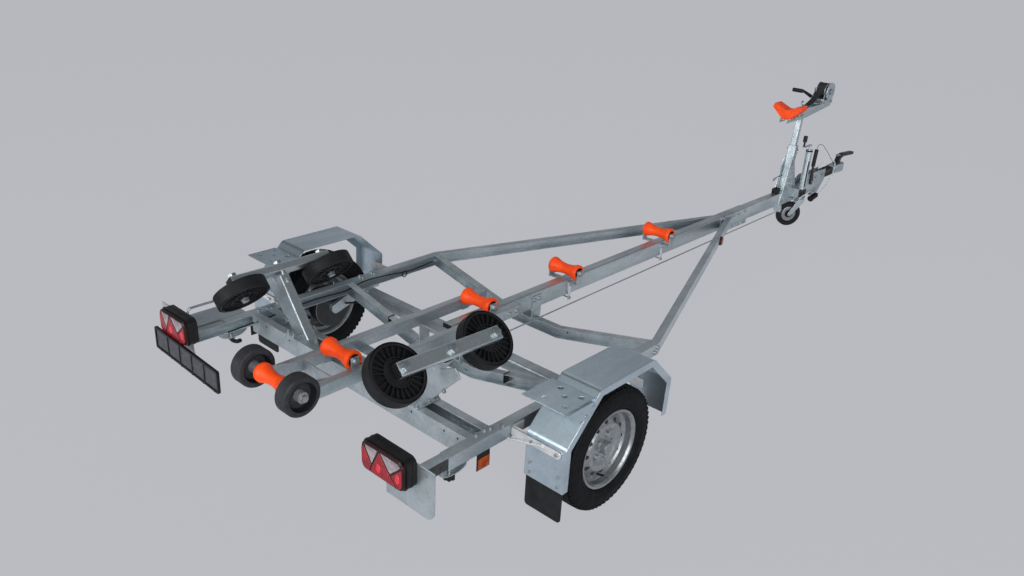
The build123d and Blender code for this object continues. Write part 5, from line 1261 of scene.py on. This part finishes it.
    def markers(self) -> None:
        """Adds an amber marker on each brace and an amber reflector under each side rail."""
        for side in SIDES:
            away = (math.sin(self.brace_angle), side * math.cos(self.brace_angle), 0)
            base = facing((2.33, side * 0.1985, 0.418), away)
            shape = Shape(f"side_marker_{SIDE_NAMES[side]}")
            shape.prism(circle(0.03, 24), 0.01, base, BLACK_PLASTIC, 0.002)
            face = base @ Matrix.Translation((0, 0, 0.0098))
            shape.prism(circle(0.0258, 24), 0.008, face, AMBER_LENS, 0.003)
            shape.block((-0.548, side * 0.797, 0.312), (-0.476, side * 0.8005, 0.388), BLACK_PLASTIC)
            shape.block((-0.544, side * 0.8, 0.316), (-0.48, side * 0.805, 0.368), AMBER_LENS, 0.002)
            shape.done("chassis")

    def build(self, fasteners: Fasteners) -> None:
        """Builds everything along the frame."""
        self.bolts(fasteners)
        self.hole_marks()
        self.hollow_end_shade()
        self.cables()
        self.markers()


# ---------------- lights
@dataclass
class LightBoard:
    """Lamps, their lens sections, the booms' fittings and the number-plate holder.

    Attributes:
        shop: Trees that grow what repeats.
        lamp_y: Distance of a lamp's middle from the centre plane.
        lamp_z: Height of a lamp's middle.
        face: Rear face of the lens.
        width: Width of the lens's flat face.
        height: Height of the lens's flat face.
        case: Half width, half height and corner radius of the lamp's case.
        steps: Rear faces of the two raised steps round the case.
        holder: Middle of the number-plate holder's face.
        holder_tilt: How far the holder hangs askew, in degrees.
        bays: Number of bays across the holder.
        bay_pitch: Distance from one bay to the next.
        web: Inner and outer face of the thin sheet of painted shade on a boom's web.
        screw: Place of the boom's locking screw.
        grab_bar: Place along the trailer and height of points along the left boom's grab bar.
        crank: Points along the handle of the left locking screw.
        sections: Outlines on the lens, across from the trailer's left and down from its top, from 0 to 1.
        chambers: Middles of the bright windows, in the same way.
    """

    shop: Workshop
    lamp_y: float = 0.741
    lamp_z: float = 0.516
    face: float = -0.972
    width: float = 0.217
    height: float = 0.11
    case: tuple[float, float, float] = (0.1175, 0.064, 0.03)
    steps: Pair = (-0.9552, -0.93)
    holder: Point = (-0.981, 0.625, 0.403)
    holder_tilt: float = 2.5
    bays: int = 5
    bay_pitch: float = 0.106
    web: Pair = (0.7955, 0.7958)
    screw: Pair = (-0.672, 0.775)
    grab_bar: tuple[Pair, ...] = (
        (-0.8, 0.45), (-0.8, 0.47), (-0.792, 0.484), (-0.77, 0.489), (-0.66, 0.489), (-0.636, 0.484),
        (-0.628, 0.47), (-0.628, 0.45))
    crank: tuple[Point, ...] = (
        (-0.672, 0.775, 0.352), (-0.668, 0.778, 0.34), (-0.655, 0.782, 0.325), (-0.635, 0.788, 0.312),
        (-0.612, 0.794, 0.308))
    sections: tuple[tuple[Finish, tuple[Pair, ...]], ...] = (
        (RED_LENS, ((0.0, 0.22), (0.06, 0.13), (0.235, 0.7), (0.19, 0.97), (0.07, 0.97), (0.0, 0.82))),
        (CLEAR_LENS, ((0.085, 0.04), (0.405, 0.03), (0.255, 0.62))),
        (RED_LENS, ((0.445, 0.05), (0.7, 0.66), (0.855, 0.97), (0.215, 0.97), (0.275, 0.69))),
        (CLEAR_LENS, ((0.485, 0.03), (0.9, 0.03), (0.965, 0.12), (0.91, 0.24), (0.715, 0.58))),
        (RED_LENS, ((0.915, 0.31), (1.0, 0.18), (1.0, 0.82), (0.945, 0.97), (0.895, 0.97), (0.74, 0.65))))
    chambers: tuple[Pair, ...] = ((0.43, 0.66), (0.9, 0.6))

    def lens(self, side: int) -> None:
        """Lays the red and clear sections of one lens, with bright windows in the red ones."""
        corner = (self.face, side * self.lamp_y + self.width / 2, self.lamp_z + self.height / 2)
        place = columns((0, -1, 0), DOWN, BACK, corner)
        shape = Shape(f"lens_sections_{SIDE_NAMES[side]}")
        for finish, outline in self.sections:
            corners = [(u * self.width, v * self.height) for u, v in outline]
            shape.prism(corners, 0.0022, place, finish, 0.0012)
        for u, v in self.chambers:
            chamber = place @ Matrix.Translation((u * self.width, v * self.height, 0.0018))
            shape.prism(circle(0.012, 20, 0.019 / 0.012), 0.0012, chamber, CHAMBER_RED, 0.001)
        shape.done(f"{SIDE_NAMES[side]}_light_boom")

    def lamp_trim(self, side: int) -> None:
        """Adds the steps round the lamp's case and the cable tail behind it."""
        shape = Shape(f"lamp_trim_{SIDE_NAMES[side]}")
        wide, high, radius = self.case
        outer = rounded(wide + 0.0012, high + 0.0012, radius)
        inner = rounded(wide - 0.005, high - 0.005, radius - 0.004)
        for step in self.steps:
            rows = ((step, inner), (step, outer), (step + 0.005, outer), (step + 0.005, inner))
            shape.rings([[Vector((x, side * self.lamp_y + y, self.lamp_z + z)) for y, z in outline]
                         for x, outline in rows], BLACK_PLASTIC, closed=True)
        shape.tube([(-0.908, side * 0.72, 0.47), (-0.9, side * 0.722, 0.462), (-0.885, side * 0.735, 0.44),
                    (-0.868, side * 0.748, 0.424)], 0.004, BLACK_PLASTIC)
        shape.done(f"{SIDE_NAMES[side]}_light_boom")

    def boom_web(self, side: int, fasteners: Fasteners) -> None:
        """Lays a thin sheet of painted shade on the boom's web, marks its holes with discs of painted shadow,
        bolts the lamp's plate on and adds the left grab bar.
        """
        body = f"{SIDE_NAMES[side]}_light_boom"
        inner, outer = self.web
        web = Shape(f"boom_web_{SIDE_NAMES[side]}")
        # Painted shade: a thin dark sheet over the web, which stands in shadow.
        web.block((-0.904, side * inner, 0.3955), (-0.34, side * outer, 0.4445), SHADED_STEEL, 0.0001)
        for x in (-0.868, -0.802, -0.736):
            web.disc(0.0085, 0.0004, facing((x, side * inner, 0.42), (0, side, 0)), HOLLOW, 0.0001)
        rows = [0.705, 0.775]
        if side > 0:
            rows.append(0.925)
            web.tube([(x, 0.932, z) for x, z in self.grab_bar], 0.0062, GALVANISED)
            for x, z in (self.grab_bar[0], self.grab_bar[-1]):
                web.disc(0.0125, 0.004, facing((x, 0.932, z), UP), GALVANISED)
        web.done(body)
        for y in rows:
            fasteners.bolt(body, (-0.905, side * y, 0.372), AHEAD, 8)
        for y in (0.84, 0.91):
            fasteners.bolt(body, (-0.909, side * y, 0.53), BACK, 6)

    def boom_clamp(self, side: int) -> None:
        """Hangs the sagging clamp plate under the rail with its locking screw, cranked on the left."""
        x, y = self.screw
        clamp = Shape(f"boom_clamp_{SIDE_NAMES[side]}")
        sag = circle(0.074, 24, -0.03 / 0.074)[:13]
        band = sag + [(u * 0.94, v * 0.86) for u, v in reversed(sag)]
        clamp.prism([(u - 0.668, v + RAIL_BOTTOM) for u, v in band], 0.052,
                    columns(AHEAD, UP, (0, side, 0), (0, side * 0.7485, 0)), GALVANISED)
        clamp.disc(0.021, 0.012, facing((x, side * y, 0.362), DOWN), DARK_STEEL, 0.002)
        clamp.disc(0.009, 0.022, facing((x, side * y, 0.38), DOWN), BRIGHT_ZINC)
        if side > 0:
            clamp.tube(self.crank, 0.0105, BLACK_PLASTIC, segments=10)
        else:
            waves = [(0.022 + 0.003 * math.cos(6 * a), a) for a in (math.pi * k / 24 for k in range(48))]
            clamp.prism([(r * math.cos(a), r * math.sin(a)) for r, a in waves], 0.022,
                        facing((x, side * y, 0.352), DOWN), BLACK_PLASTIC, 0.003)
        clamp.done("chassis")

    def plate_holder(self) -> None:
        """Dresses the number-plate holder: raised border, four ribs, pale bays and clips along its foot."""
        place = Matrix.Translation(self.holder) @ Matrix.Rotation(math.radians(self.holder_tilt), 4, "X")
        shape = Shape("plate_holder_bays")
        face = place @ columns(OUT, UP, BACK, (0, 0, 0))
        for k in range(self.bays):
            low = -0.264 + k * self.bay_pitch
            high = low + 0.103
            outline = [(low, -0.044), (high, -0.044), (high, 0.044), (low, 0.044)]
            shape.prism(outline, 0.0012, face, PALE_PLASTIC, 0.0006)
        outer, inner = rounded(0.275, 0.056, 0.008), rounded(0.2665, 0.0465, 0.004)
        shape.rings([[place @ Vector((depth, a, b)) for a, b in outline] for depth, outline in (
            (0.0, inner), (0.0, outer), (-0.005, outer), (-0.005, inner))], BLACK_PLASTIC, closed=True)
        shape.done("left_light_boom")
        ribs = self.shop.line(BLACK_PLASTIC, place @ Matrix.Translation((-0.0022, 0, 0)), Count=self.bays - 1,
                              Pitch=self.bay_pitch, Depth=0.0044, Width=0.0075, Height=0.094)
        settle("plate_holder_ribs", ribs, "left_light_boom")
        clips = self.shop.line(BLACK_PLASTIC, place @ Matrix.Translation((0.002, 0, -0.058)), Count=6,
                               Pitch=0.094, Depth=0.009, Width=0.012, Height=0.007)
        settle("plate_holder_clips", clips, "left_light_boom")

    def build(self, fasteners: Fasteners) -> None:
        """Builds both lamps, both booms' fittings and the number-plate holder."""
        for side in SIDES:
            self.lens(side)
            self.lamp_trim(side)
            self.boom_web(side, fasteners)
            self.boom_clamp(side)
        self.plate_holder()


# ---------------- winch
@dataclass
class WinchStand:
    """Post fixings, winch webbing, gear teeth, strap, crank grip and bow-stop fittings.

    Attributes:
        shop: Trees that grow what repeats.
        drum: Place along the trailer and height of the drum's axis.
        grip: Where the crank's grip starts.
        teeth: Teeth on the drum's gear.
        strap_line: Place along the trailer and height of points along the strap.
        hook: Points along the strap's hook.
        post_bolts: Place along the trailer and height of the bolts through the post's foot and the post.
        arm_bolts: The same for the bolts that hold the winch to its arm.
        stop_bolts: The same for the bolts of the bow stop's bracket.
        pin: Place along the trailer and height of the post's locking pin.
        post_hook: Points along the hook on the post's rear face.
    """

    shop: Workshop
    drum: Pair = (4.0, 1.19)
    grip: Pair = (3.795, 1.195)
    teeth: int = 52
    strap_line: tuple[Pair, ...] = (
        (3.962, 1.232), (3.938, 1.205), (3.9, 1.172), (3.84, 1.138), (3.78, 1.116), (3.735, 1.106))
    hook: tuple[Point, ...] = (
        (3.738, 0, 1.106), (3.706, 0, 1.107), (3.684, 0.004, 1.112), (3.672, 0.01, 1.126),
        (3.684, 0.014, 1.14), (3.702, 0.012, 1.138))
    post_bolts: tuple[Pair, ...] = (
        (3.525, 0.412), (3.62, 0.412), (3.715, 0.412), (3.598, 0.56), (3.606, 0.69))
    arm_bolts: tuple[Pair, ...] = ((3.94, 1.112), (4.062, 1.112))
    stop_bolts: tuple[Pair, ...] = ((3.44, 1.046), (3.484, 1.046))
    pin: Pair = (3.636, 0.792)
    post_hook: tuple[Point, ...] = (
        (3.566, 0.01, 0.592), (3.5, 0.014, 0.594), (3.44, 0.012, 0.59), (3.414, 0.006, 0.584),
        (3.41, -0.006, 0.592), (3.42, -0.012, 0.6))

    def drum_pieces(self) -> None:
        """Winds the webbing on the drum and cuts the gear's teeth."""
        x, z = self.drum
        shape = Shape("drum_webbing")
        shape.turned([(0.0498, -0.0318), (0.0575, -0.0312), (0.059, -0.029), (0.0592, -0.012),
                      (0.0586, 0.01), (0.0592, 0.029), (0.0575, 0.0312), (0.0498, 0.0318)],
                     facing((x, 0, z), OUT), WEBBING)
        shape.disc(0.0225, 0.004, facing((x, -0.0642, z), (0, -1, 0)), BRIGHT_ZINC)
        shape.done("winch_drum")
        gear = self.shop.ring(GALVANISED, facing((x, -0.055, z), OUT), Count=self.teeth, Radius=0.0668,
                              Height=0.004, Length=0.0042, Width=0.0078)
        settle("gear_teeth", gear, "winch_drum")

    def strap(self) -> None:
        """Leads the strap from the drum down to its hook on the arm."""
        shape = Shape("winch_strap")
        shape.tube([(x, 0, z) for x, z in self.strap_line], 0.024, WEBBING, flat=0.07)
        shape.tube(self.hook, 0.005, BRIGHT_ZINC)
        shape.block((3.624, -0.024, 1.0965), (3.712, 0.024, 1.101), DARK_STEEL)
        shape.done("chassis")

    def crank_grip(self) -> None:
        """Slips a ribbed grip over the crank's peg, with a gap before the arm."""
        shape = Shape("crank_grip")
        bore, full, low = 0.0121, 0.015, 0.0142
        profile = [(bore, 0.0), (0.0135, 0.0), (full, 0.004)]
        for k in range(5):
            h = 0.012 + k * 0.0125
            profile += [(full, h), (low, h + 0.0015), (low, h + 0.003), (full, h + 0.0045)]
        profile += [(0.0146, 0.076), (bore, 0.0785)]
        shape.turned(profile, facing((self.grip[0], 0.076, self.grip[1]), OUT), BLACK_PLASTIC, segments=24)
        shape.done("winch_crank")

    def post_fittings(self) -> None:
        """Adds the stop block, the hook, the locking pin with its ring and the bow stop's bracket."""
        shape = Shape("post_fittings")
        shape.block((3.452, -0.022, DRAWBAR_TOP + 0.0002), (3.512, 0.022, 0.512), BLACK_RUBBER, 0.004)
        shape.tube(self.post_hook, 0.004, BRIGHT_ZINC)
        x, z = self.pin
        shape.tube([(x, -0.044, z), (x, 0.044, z)], 0.0055, BRIGHT_ZINC)
        ring = [(x + across, -0.042, z - 0.012 + up) for across, up in circle(0.016, 14)]
        shape.tube([*ring, ring[0]], 0.0016, BRIGHT_ZINC, steps=2, segments=8)
        for side in SIDES:
            shape.block((3.424, side * 0.03, 1.03), (3.5, side * 0.036, 1.062), GALVANISED)
        shape.done("chassis")

    def build(self, fasteners: Fasteners) -> None:
        """Builds the stand and bolts it together."""
        self.drum_pieces()
        self.strap()
        self.crank_grip()
        self.post_fittings()
        for places, out, thread in ((self.post_bolts, DRAWBAR_FACE, 12), (self.arm_bolts, 0.046, 8),
                                    (((3.62, 1.055),), 0.03, 10), (self.stop_bolts, 0.036, 8)):
            fasteners.pairs([(x, out, z) for x, z in places], OUT, thread)
        fasteners.bolt("chassis", (self.drum[0], 0.054, self.drum[1]), OUT, 16)


# ---------------- coupling and jockey wheel
@dataclass
class Coupling:
    """Fixings of the overrun coupling, bellows clips, lever grip and the jockey wheel's clamp.

    Attributes:
        axis_z: Height of the coupling's tube.
        bellows: Ends of the bellows.
        housing_bolts: Place along the trailer and height of the bolts through the housing.
        lever: Foot and end of the handbrake lever's grip.
        jockey: Place of the jockey tube's axis along the trailer and out.
        clamp_way: Direction in which the clamp's tommy bar stands off the tube.
        slot_way: Direction that the slot in the jockey tube faces.
        swivel: Turn of the jockey wheel as it is parked, in degrees.
    """

    axis_z: float = 0.492
    bellows: Pair = (4.275, 4.425)
    housing_bolts: tuple[Pair, ...] = (
        (3.825, 0.425), (3.925, 0.425), (3.925, 0.505), (4.09, 0.505), (4.215, 0.505), (4.12, 0.385))
    lever: tuple[Point, Point] = ((3.992, -0.039, 0.604), (4.003, -0.039, 0.739))
    jockey: Pair = (3.755, -0.084)
    clamp_way: Point = (-0.62, -0.78, 0)
    slot_way: Point = (-0.55, -0.83, 0)
    swivel: float = 39.0

    def head(self, fasteners: Fasteners) -> None:
        """Adds the bolts, the bellows clips and the wear indicator on the head."""
        fasteners.pairs([(x, DRAWBAR_FACE, z) for x, z in self.housing_bolts], OUT, 12)
        fasteners.pairs([(4.462, 0.0332, 0.496)], OUT, 12)
        fasteners.bolt("chassis", (4.015, -0.0432, 0.478), (0, -1, 0), 12)
        clips = Shape("bellows_clips")
        for x in (self.bellows[0] + 0.001, self.bellows[1] - 0.007):
            clips.turned([(0.0335, 0.0), (0.0352, 0.0), (0.0352, 0.006), (0.0335, 0.006)],
                         facing((x, 0, self.axis_z), AHEAD), BRIGHT_ZINC)
        clips.block((4.545, -0.013, 0.5925), (4.59, 0.013, 0.603), GREY_PLASTIC)
        clips.done("chassis")

    def lever_grip(self) -> None:
        """Slips a grip with finger grooves over the handbrake lever."""
        foot, end = (Vector(point) for point in self.lever)
        length = (end - foot).length
        bore, full, low = 0.0131, 0.0152, 0.0142
        profile = [(bore, 0.0), (0.015, 0.0012)]
        for k in range(7):
            h = 0.01 + k * 0.0165
            profile += [(full, h), (low, h + 0.003), (low, h + 0.006), (full, h + 0.009)]
        profile += [(0.015, length - 0.003), (bore, length - 0.0006)]
        shape = Shape("handbrake_grip")
        shape.turned(profile, facing(foot, end - foot), BLACK_PLASTIC, segments=28)
        shape.done("chassis")

    def jockey_clamp(self) -> None:
        """Adds the dark clamp, its tommy bar and a strip of painted shadow for the slot in the jockey tube.
        """
        x, y = self.jockey
        clamp = Shape("jockey_clamp")
        clamp.turned([(0.0311, -0.0005), (0.0335, 0.001), (0.0335, 0.065), (0.0311, 0.0665)],
                     facing((x, y, 0.412), UP), DARK_STEEL)
        boss = Vector((x - 0.024, y - 0.02, 0.445))
        clamp.disc(0.0125, 0.03, facing(boss, self.clamp_way), DARK_STEEL, 0.002)
        root = boss + Vector(self.clamp_way) * 0.034
        reach = Vector((0.03, -0.024, 0.03))
        clamp.tube([root + reach, root, root - reach], 0.0055, BRIGHT_ZINC)
        clamp.done("chassis")
        strip = Shape("jockey_tube_slot")
        away = Vector(self.slot_way).normalized()
        # Painted shadow: a dark strip where the slot in the tube stands open.
        strip.prism([(0.0, -0.0055), (0.2, -0.0055), (0.2, 0.0055), (0.0, 0.0055)], 0.0011,
                    facing(Vector((x, y, 0.5)) + away * 0.0232, away), HOLLOW, 0.0003)
        strip.turned([(0.024, 0.0), (0.0262, 0.0004), (0.0262, 0.01), (0.024, 0.0115)],
                     facing((x, y, 0.7705), UP), BLACK_PLASTIC)
        strip.done("chassis")

    def jockey_hub(self, fasteners: Fasteners) -> None:
        """Adds the pressed hub discs and the axle nuts of the jockey wheel."""
        low, high = (Vector(corner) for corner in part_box("jockey_wheel"))
        centre = Placement.chassis.inverted() @ ((low + high) / 2)
        axis = Vector((math.sin(math.radians(self.swivel)), math.cos(math.radians(self.swivel)), 0))
        shape = Shape("jockey_hub")
        for way in (1, -1):
            shape.turned([(0.0302, 0.0), (0.057, 0.0), (0.0575, 0.0018), (0.048, 0.0042), (0.0302, 0.003)],
                         facing(centre + axis * (way * 0.0095), axis * way), RIM_PAINT)
            fasteners.bolt("jockey_leg", centre + axis * (way * 0.03), axis * way, 12)
        shape.done("jockey_wheel")

    def build(self, fasteners: Fasteners) -> None:
        """Builds the front end."""
        self.head(fasteners)
        self.lever_grip()
        self.jockey_clamp()
        self.jockey_hub(fasteners)


# ---------------- cords
@dataclass
class Cords:
    """The lighting cable with its plug and gland, and the breakaway cable.

    Attributes:
        shop: Trees that grow what repeats.
        light_route: Points of the lighting cable, from its gland to its plug.
        light_diameter: Diameter of the lighting cable.
        light_length: Length of the lighting cable; not used.
        wire_route: Points of the breakaway cable, from the handbrake grip to the coupling head.
        wire_diameter: Diameter of the breakaway cable.
        wire_length: Length of the breakaway cable; not used.
        gland_length: Length of the tapered gland.
        plug_half: Distance of the plug's middle from the end of its cable.
    """

    shop: Workshop
    light_route: tuple[Point, ...] = (
        (4.23, 0.049, 0.47), (4.262, 0.062, 0.474), (4.318, 0.074, 0.489), (4.378, 0.07, 0.523),
        (4.42, 0.047, 0.562), (4.438, 0.012, 0.584), (4.434, -0.026, 0.583), (4.409, -0.054, 0.555),
        (4.361, -0.07, 0.507), (4.306, -0.074, 0.452), (4.245, -0.072, 0.407), (4.181, -0.07, 0.374),
        (4.116, -0.068, 0.362))
    light_diameter: float = 0.007
    light_length: float = 0.7089
    wire_route: tuple[Point, ...] = (
        (4.003, -0.039, 0.739), (4.0045, -0.039, 0.755), (4.022, -0.039, 0.768), (4.048, -0.038, 0.773),
        (4.084, -0.037, 0.768), (4.123, -0.035, 0.753), (4.166, -0.033, 0.729), (4.213, -0.031, 0.702),
        (4.261, -0.03, 0.673), (4.308, -0.028, 0.641), (4.355, -0.0275, 0.61), (4.401, -0.0265, 0.576),
        (4.443, -0.026, 0.546))
    wire_diameter: float = 0.004
    wire_length: float = 0.5226
    gland_length: float = 0.03
    plug_half: float = 0.062

    @staticmethod
    def line(name: str, route: Sequence[Point], diameter: float, finish: Finish,
             node: str) -> bpy.types.Object:
        """Draws one cord as a smooth curve through the frame of the CAD nodes.

        Args:
            name: Name of the piece.
            route: Points in the chassis frame.
            diameter: Diameter of the cord.
            finish: Its finish.
            node: CAD node that it stands for.

        Returns:
            The curve object.
        """
        data = bpy.data.curves.new(name, "CURVE")
        data.dimensions = "3D"
        data.bevel_depth = diameter / 2
        data.bevel_resolution = 4
        data.resolution_u = 12
        data.use_fill_caps = True
        spline = data.splines.new("NURBS")
        spline.points.add(len(route) - 1)
        for point, (x, y, z) in zip(spline.points, route):
            point.co = (*Placement.world(x, y, z), 1.0)
        spline.order_u = 3
        spline.use_endpoint_u = True
        data.materials.append(finish.material())
        piece = bpy.data.objects.new(name, data)
        bpy.context.collection.objects.link(piece)
        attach(piece, "chassis")
        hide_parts(node)
        return piece

    def gland(self) -> None:
        """Makes the tapered gland with its ribs on the housing's side."""
        face, second = (Vector(point) for point in self.light_route[:2])
        ahead = (second - face).normalized()
        profile = [(0.001, 0.0), (0.0095, 0.0), (0.0095, 0.01)]
        for k in range(5):
            h, r = 0.012 + k * 0.0042, 0.0082 - k * 0.0006
            profile += [(r, h), (r - 0.0009, h + 0.0012), (r - 0.0009, h + 0.0024), (r - 0.0002, h + 0.0036)]
        profile += [(0.0044, 0.04), (0.0036, 0.0405), (0.001, self.gland_length)]
        shape = Shape("cable_gland")
        shape.turned(profile, facing(face - ahead * self.gland_length, ahead), BLACK_PLASTIC, segments=24)
        shape.done("chassis", ("light_gland",))

    def plug_ribs(self) -> bpy.types.Object:
        """Grows the grip ribs on the plug."""
        before, face = (Vector(point) for point in self.light_route[-2:])
        ahead = (face - before).normalized()
        ribs = self.shop.ring(BLACK_PLASTIC, facing(face + ahead * self.plug_half, ahead), Count=20,
                              Radius=0.021, Height=0.0022, Length=0.003, Width=0.064)
        return settle("plug_ribs", ribs, "chassis")

    def build(self) -> None:
        """Builds both cords with what is on them."""
        light = self.line("lighting_cable", self.light_route, self.light_diameter, GREY_SHEATH, "light_cable")
        ribs = self.plug_ribs()
        self.gland()
        tuple(Placement.world(*self.light_route[0]))
        wire = self.line("breakaway_wire", self.wire_route, self.wire_diameter, WIRE_ROPE, "breakaway_cable")
        tuple(Placement.world(*self.wire_route[0]))


# ---------------- studio
@dataclass
class Studio:
    """Uniform backdrop, lamps and camera.

    Attributes:
        backdrop: Colour of floor and sky as the camera sees them.
        ceiling: Colour overhead, which upward faces mirror.
        overhead: Heights of the sky, from 0 to 1, between which it goes over to the ceiling's colour.
        glow: Share of its own light that the floor shows; the rest of it takes the faint shadow.
        floor_size: Side of the floor.
        focal_pixels: Focal length in pixels of the picture.
        image: Picture size in pixels.
        principal: Point that the camera's axis passes through, in pixels.
        eye: Place of the camera, measured from the axle on the floor.
        yaw: Heading of the camera in degrees.
        pitch: Its tilt in degrees.
        roll: Its roll in degrees.
        sensor: Width of the camera's sensor in millimetres.
        lamps: Name, place, aim, width and power of each soft lamp.
    """

    backdrop: str = "#bbbcc1"
    ceiling: str = "#2b2f31"
    overhead: Pair = (0.24, 0.52)
    glow: float = 0.93
    floor_size: float = 160.0
    focal_pixels: float = 850.14
    image: tuple[int, int] = (1024, 576)
    principal: Pair = (512.0, 314.47)
    eye: Point = (-2.4404, -2.6951, 2.4106)
    yaw: float = 42.2613
    pitch: float = -27.2033
    roll: float = 0.9644
    sensor: float = 36.0
    lamps: tuple[tuple[str, Point, Point, float, float], ...] = (
        ("side_softbox", (-6.8, -9.0, 4.6), (0.6, 0.0, 0.5), 9.0, 1200.0),
        ("rear_softbox", (-11.0, 1.6, 4.2), (0.0, 0.0, 0.5), 8.0, 700.0),
        ("sky_softbox", (1.2, 2.0, 5.5), (0.8, 0.0, 0.3), 5.0, 40.0))

    def build_camera(self) -> None:
        """Sets the camera at the viewing angle."""
        yaw, pitch, roll = (math.radians(a) for a in (self.yaw, self.pitch, self.roll))
        ahead = Vector((math.cos(pitch) * math.cos(yaw), math.cos(pitch) * math.sin(yaw), math.sin(pitch)))
        right = ahead.cross(Vector((0, 0, 1))).normalized()
        up = right.cross(ahead)
        right, up = right * math.cos(roll) + up * math.sin(roll), up * math.cos(roll) - right * math.sin(roll)
        data = bpy.data.cameras.new("camera")
        data.sensor_width = self.sensor
        data.lens = self.focal_pixels * self.sensor / self.image[0]
        data.shift_x = (self.image[0] / 2 - self.principal[0]) / self.image[0]
        data.shift_y = (self.principal[1] - self.image[1] / 2) / self.image[0]
        camera = bpy.data.objects.new("camera", data)
        eye = Vector(self.eye) + Vector((Placement.world(0, 0, AXLE_HEIGHT).x, 0, 0))
        camera.matrix_world = columns(right, up, -ahead, eye)
        bpy.context.collection.objects.link(camera)
        bpy.context.scene.camera = camera

    @staticmethod
    def seen(tree: bpy.types.NodeTree) -> Socket:
        """Returns 1 for rays of the camera, of gloss and of glass, and 0 for the rest."""
        path = add_node(tree, "ShaderNodeLightPath")
        first = add_node(tree, "ShaderNodeMath", {"operation": "MAXIMUM"},
                         {0: path.outputs["Is Camera Ray"], 1: path.outputs["Is Glossy Ray"]})
        return add_node(tree, "ShaderNodeMath", {"operation": "MAXIMUM"},
                        {0: first.outputs[0], 1: path.outputs["Is Transmission Ray"]}).outputs[0]

    def floor(self) -> None:
        """Lays a floor that shows the backdrop's colour and keeps a faint shadow."""
        bpy.ops.mesh.primitive_plane_add(size=self.floor_size)
        plane = bpy.context.object
        plane.name = "floor"
        material = bpy.data.materials.new("floor")
        tree = emptied(material)
        output = add_node(tree, "ShaderNodeOutputMaterial")
        diffuse = add_node(tree, "ShaderNodeBsdfDiffuse", inputs={"Color": linear(self.backdrop)})
        glow = add_node(tree, "ShaderNodeEmission", inputs={"Color": linear(self.backdrop), "Strength": 1.0})
        share = add_node(tree, "ShaderNodeMath", {"operation": "MULTIPLY"},
                         {0: self.seen(tree), 1: self.glow})
        mix = add_node(tree, "ShaderNodeMixShader", inputs={
            0: share.outputs[0], 1: diffuse.outputs[0], 2: glow.outputs[0]})
        tree.links.new(mix.outputs[0], output.inputs["Surface"])
        plane.data.materials.append(material)

    def sky(self) -> None:
        """Shows the backdrop to the camera and lights the rest from a pale sky."""
        world = bpy.data.worlds.new("studio")
        tree = emptied(world)
        output = add_node(tree, "ShaderNodeOutputWorld")
        around = add_node(tree, "ShaderNodeTexCoord")
        way = add_node(tree, "ShaderNodeSeparateXYZ", inputs={0: around.outputs["Generated"]})
        height = add_node(tree, "ShaderNodeMapRange", {"interpolation_type": "SMOOTHSTEP"}, {
            "Value": way.outputs[2], "From Min": self.overhead[0], "From Max": self.overhead[1]})
        grey = add_node(tree, "ShaderNodeMix", {"data_type": "RGBA"}, {
            "Factor": height.outputs[0], 6: linear("#e2e6ea"), 7: linear("#878c91")})
        pale = add_node(tree, "ShaderNodeMix", {"data_type": "RGBA"}, {
            "Factor": height.outputs[0], 6: linear(self.backdrop), 7: linear(self.ceiling)})
        light = add_node(tree, "ShaderNodeBackground", inputs={"Color": grey.outputs[2], "Strength": 0.8})
        shown = add_node(tree, "ShaderNodeBackground", inputs={"Color": pale.outputs[2], "Strength": 1.0})
        mix = add_node(tree, "ShaderNodeMixShader", inputs={
            0: self.seen(tree), 1: light.outputs[0], 2: shown.outputs[0]})
        tree.links.new(mix.outputs[0], output.inputs["Surface"])
        bpy.context.scene.world = world

    def build_lights(self) -> None:
        """Hangs the soft lamps, low ones on the camera's side so that upright faces stay bright."""
        self.floor()
        self.sky()
        for name, place, aim, size, power in self.lamps:
            light = bpy.data.lights.new(name, "AREA")
            light.size = size
            light.energy = power
            lamp = bpy.data.objects.new(name, light)
            lamp.location = place
            lamp.rotation_euler = (Vector(aim) - Vector(place)).to_track_quat("-Z", "Y").to_euler()
            bpy.context.collection.objects.link(lamp)


# ---------------- whole
@dataclass
class Trailer:
    """The whole visual model.
    """

    def build(self) -> None:
        """Builds every sub-assembly around the frame."""
        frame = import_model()
        Placement.measure()
        studio = Studio()
        studio.build_camera()
        shop = Workshop()
        Cords(shop).build()
        for name, node in frame["nodes"].items():
            node.data.materials.clear()
            node.data.materials.append(finish_of(name).material())
        fasteners = Fasteners(shop)
        for assembly in (RoadWheel(shop), Mudguard(), Bogie(), Rollers(), Frame(), LightBoard(shop),
                         WinchStand(shop), Coupling()):
            log.info("building %s", type(assembly).__name__)
            assembly.build(fasteners)
        fasteners.build()
        studio.build_lights()
        bpy.context.scene.view_settings.view_transform = "Standard"
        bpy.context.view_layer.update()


def main() -> None:
    """Builds the trailer."""
    Trailer().build()


if __name__ == "__main__":
    main()
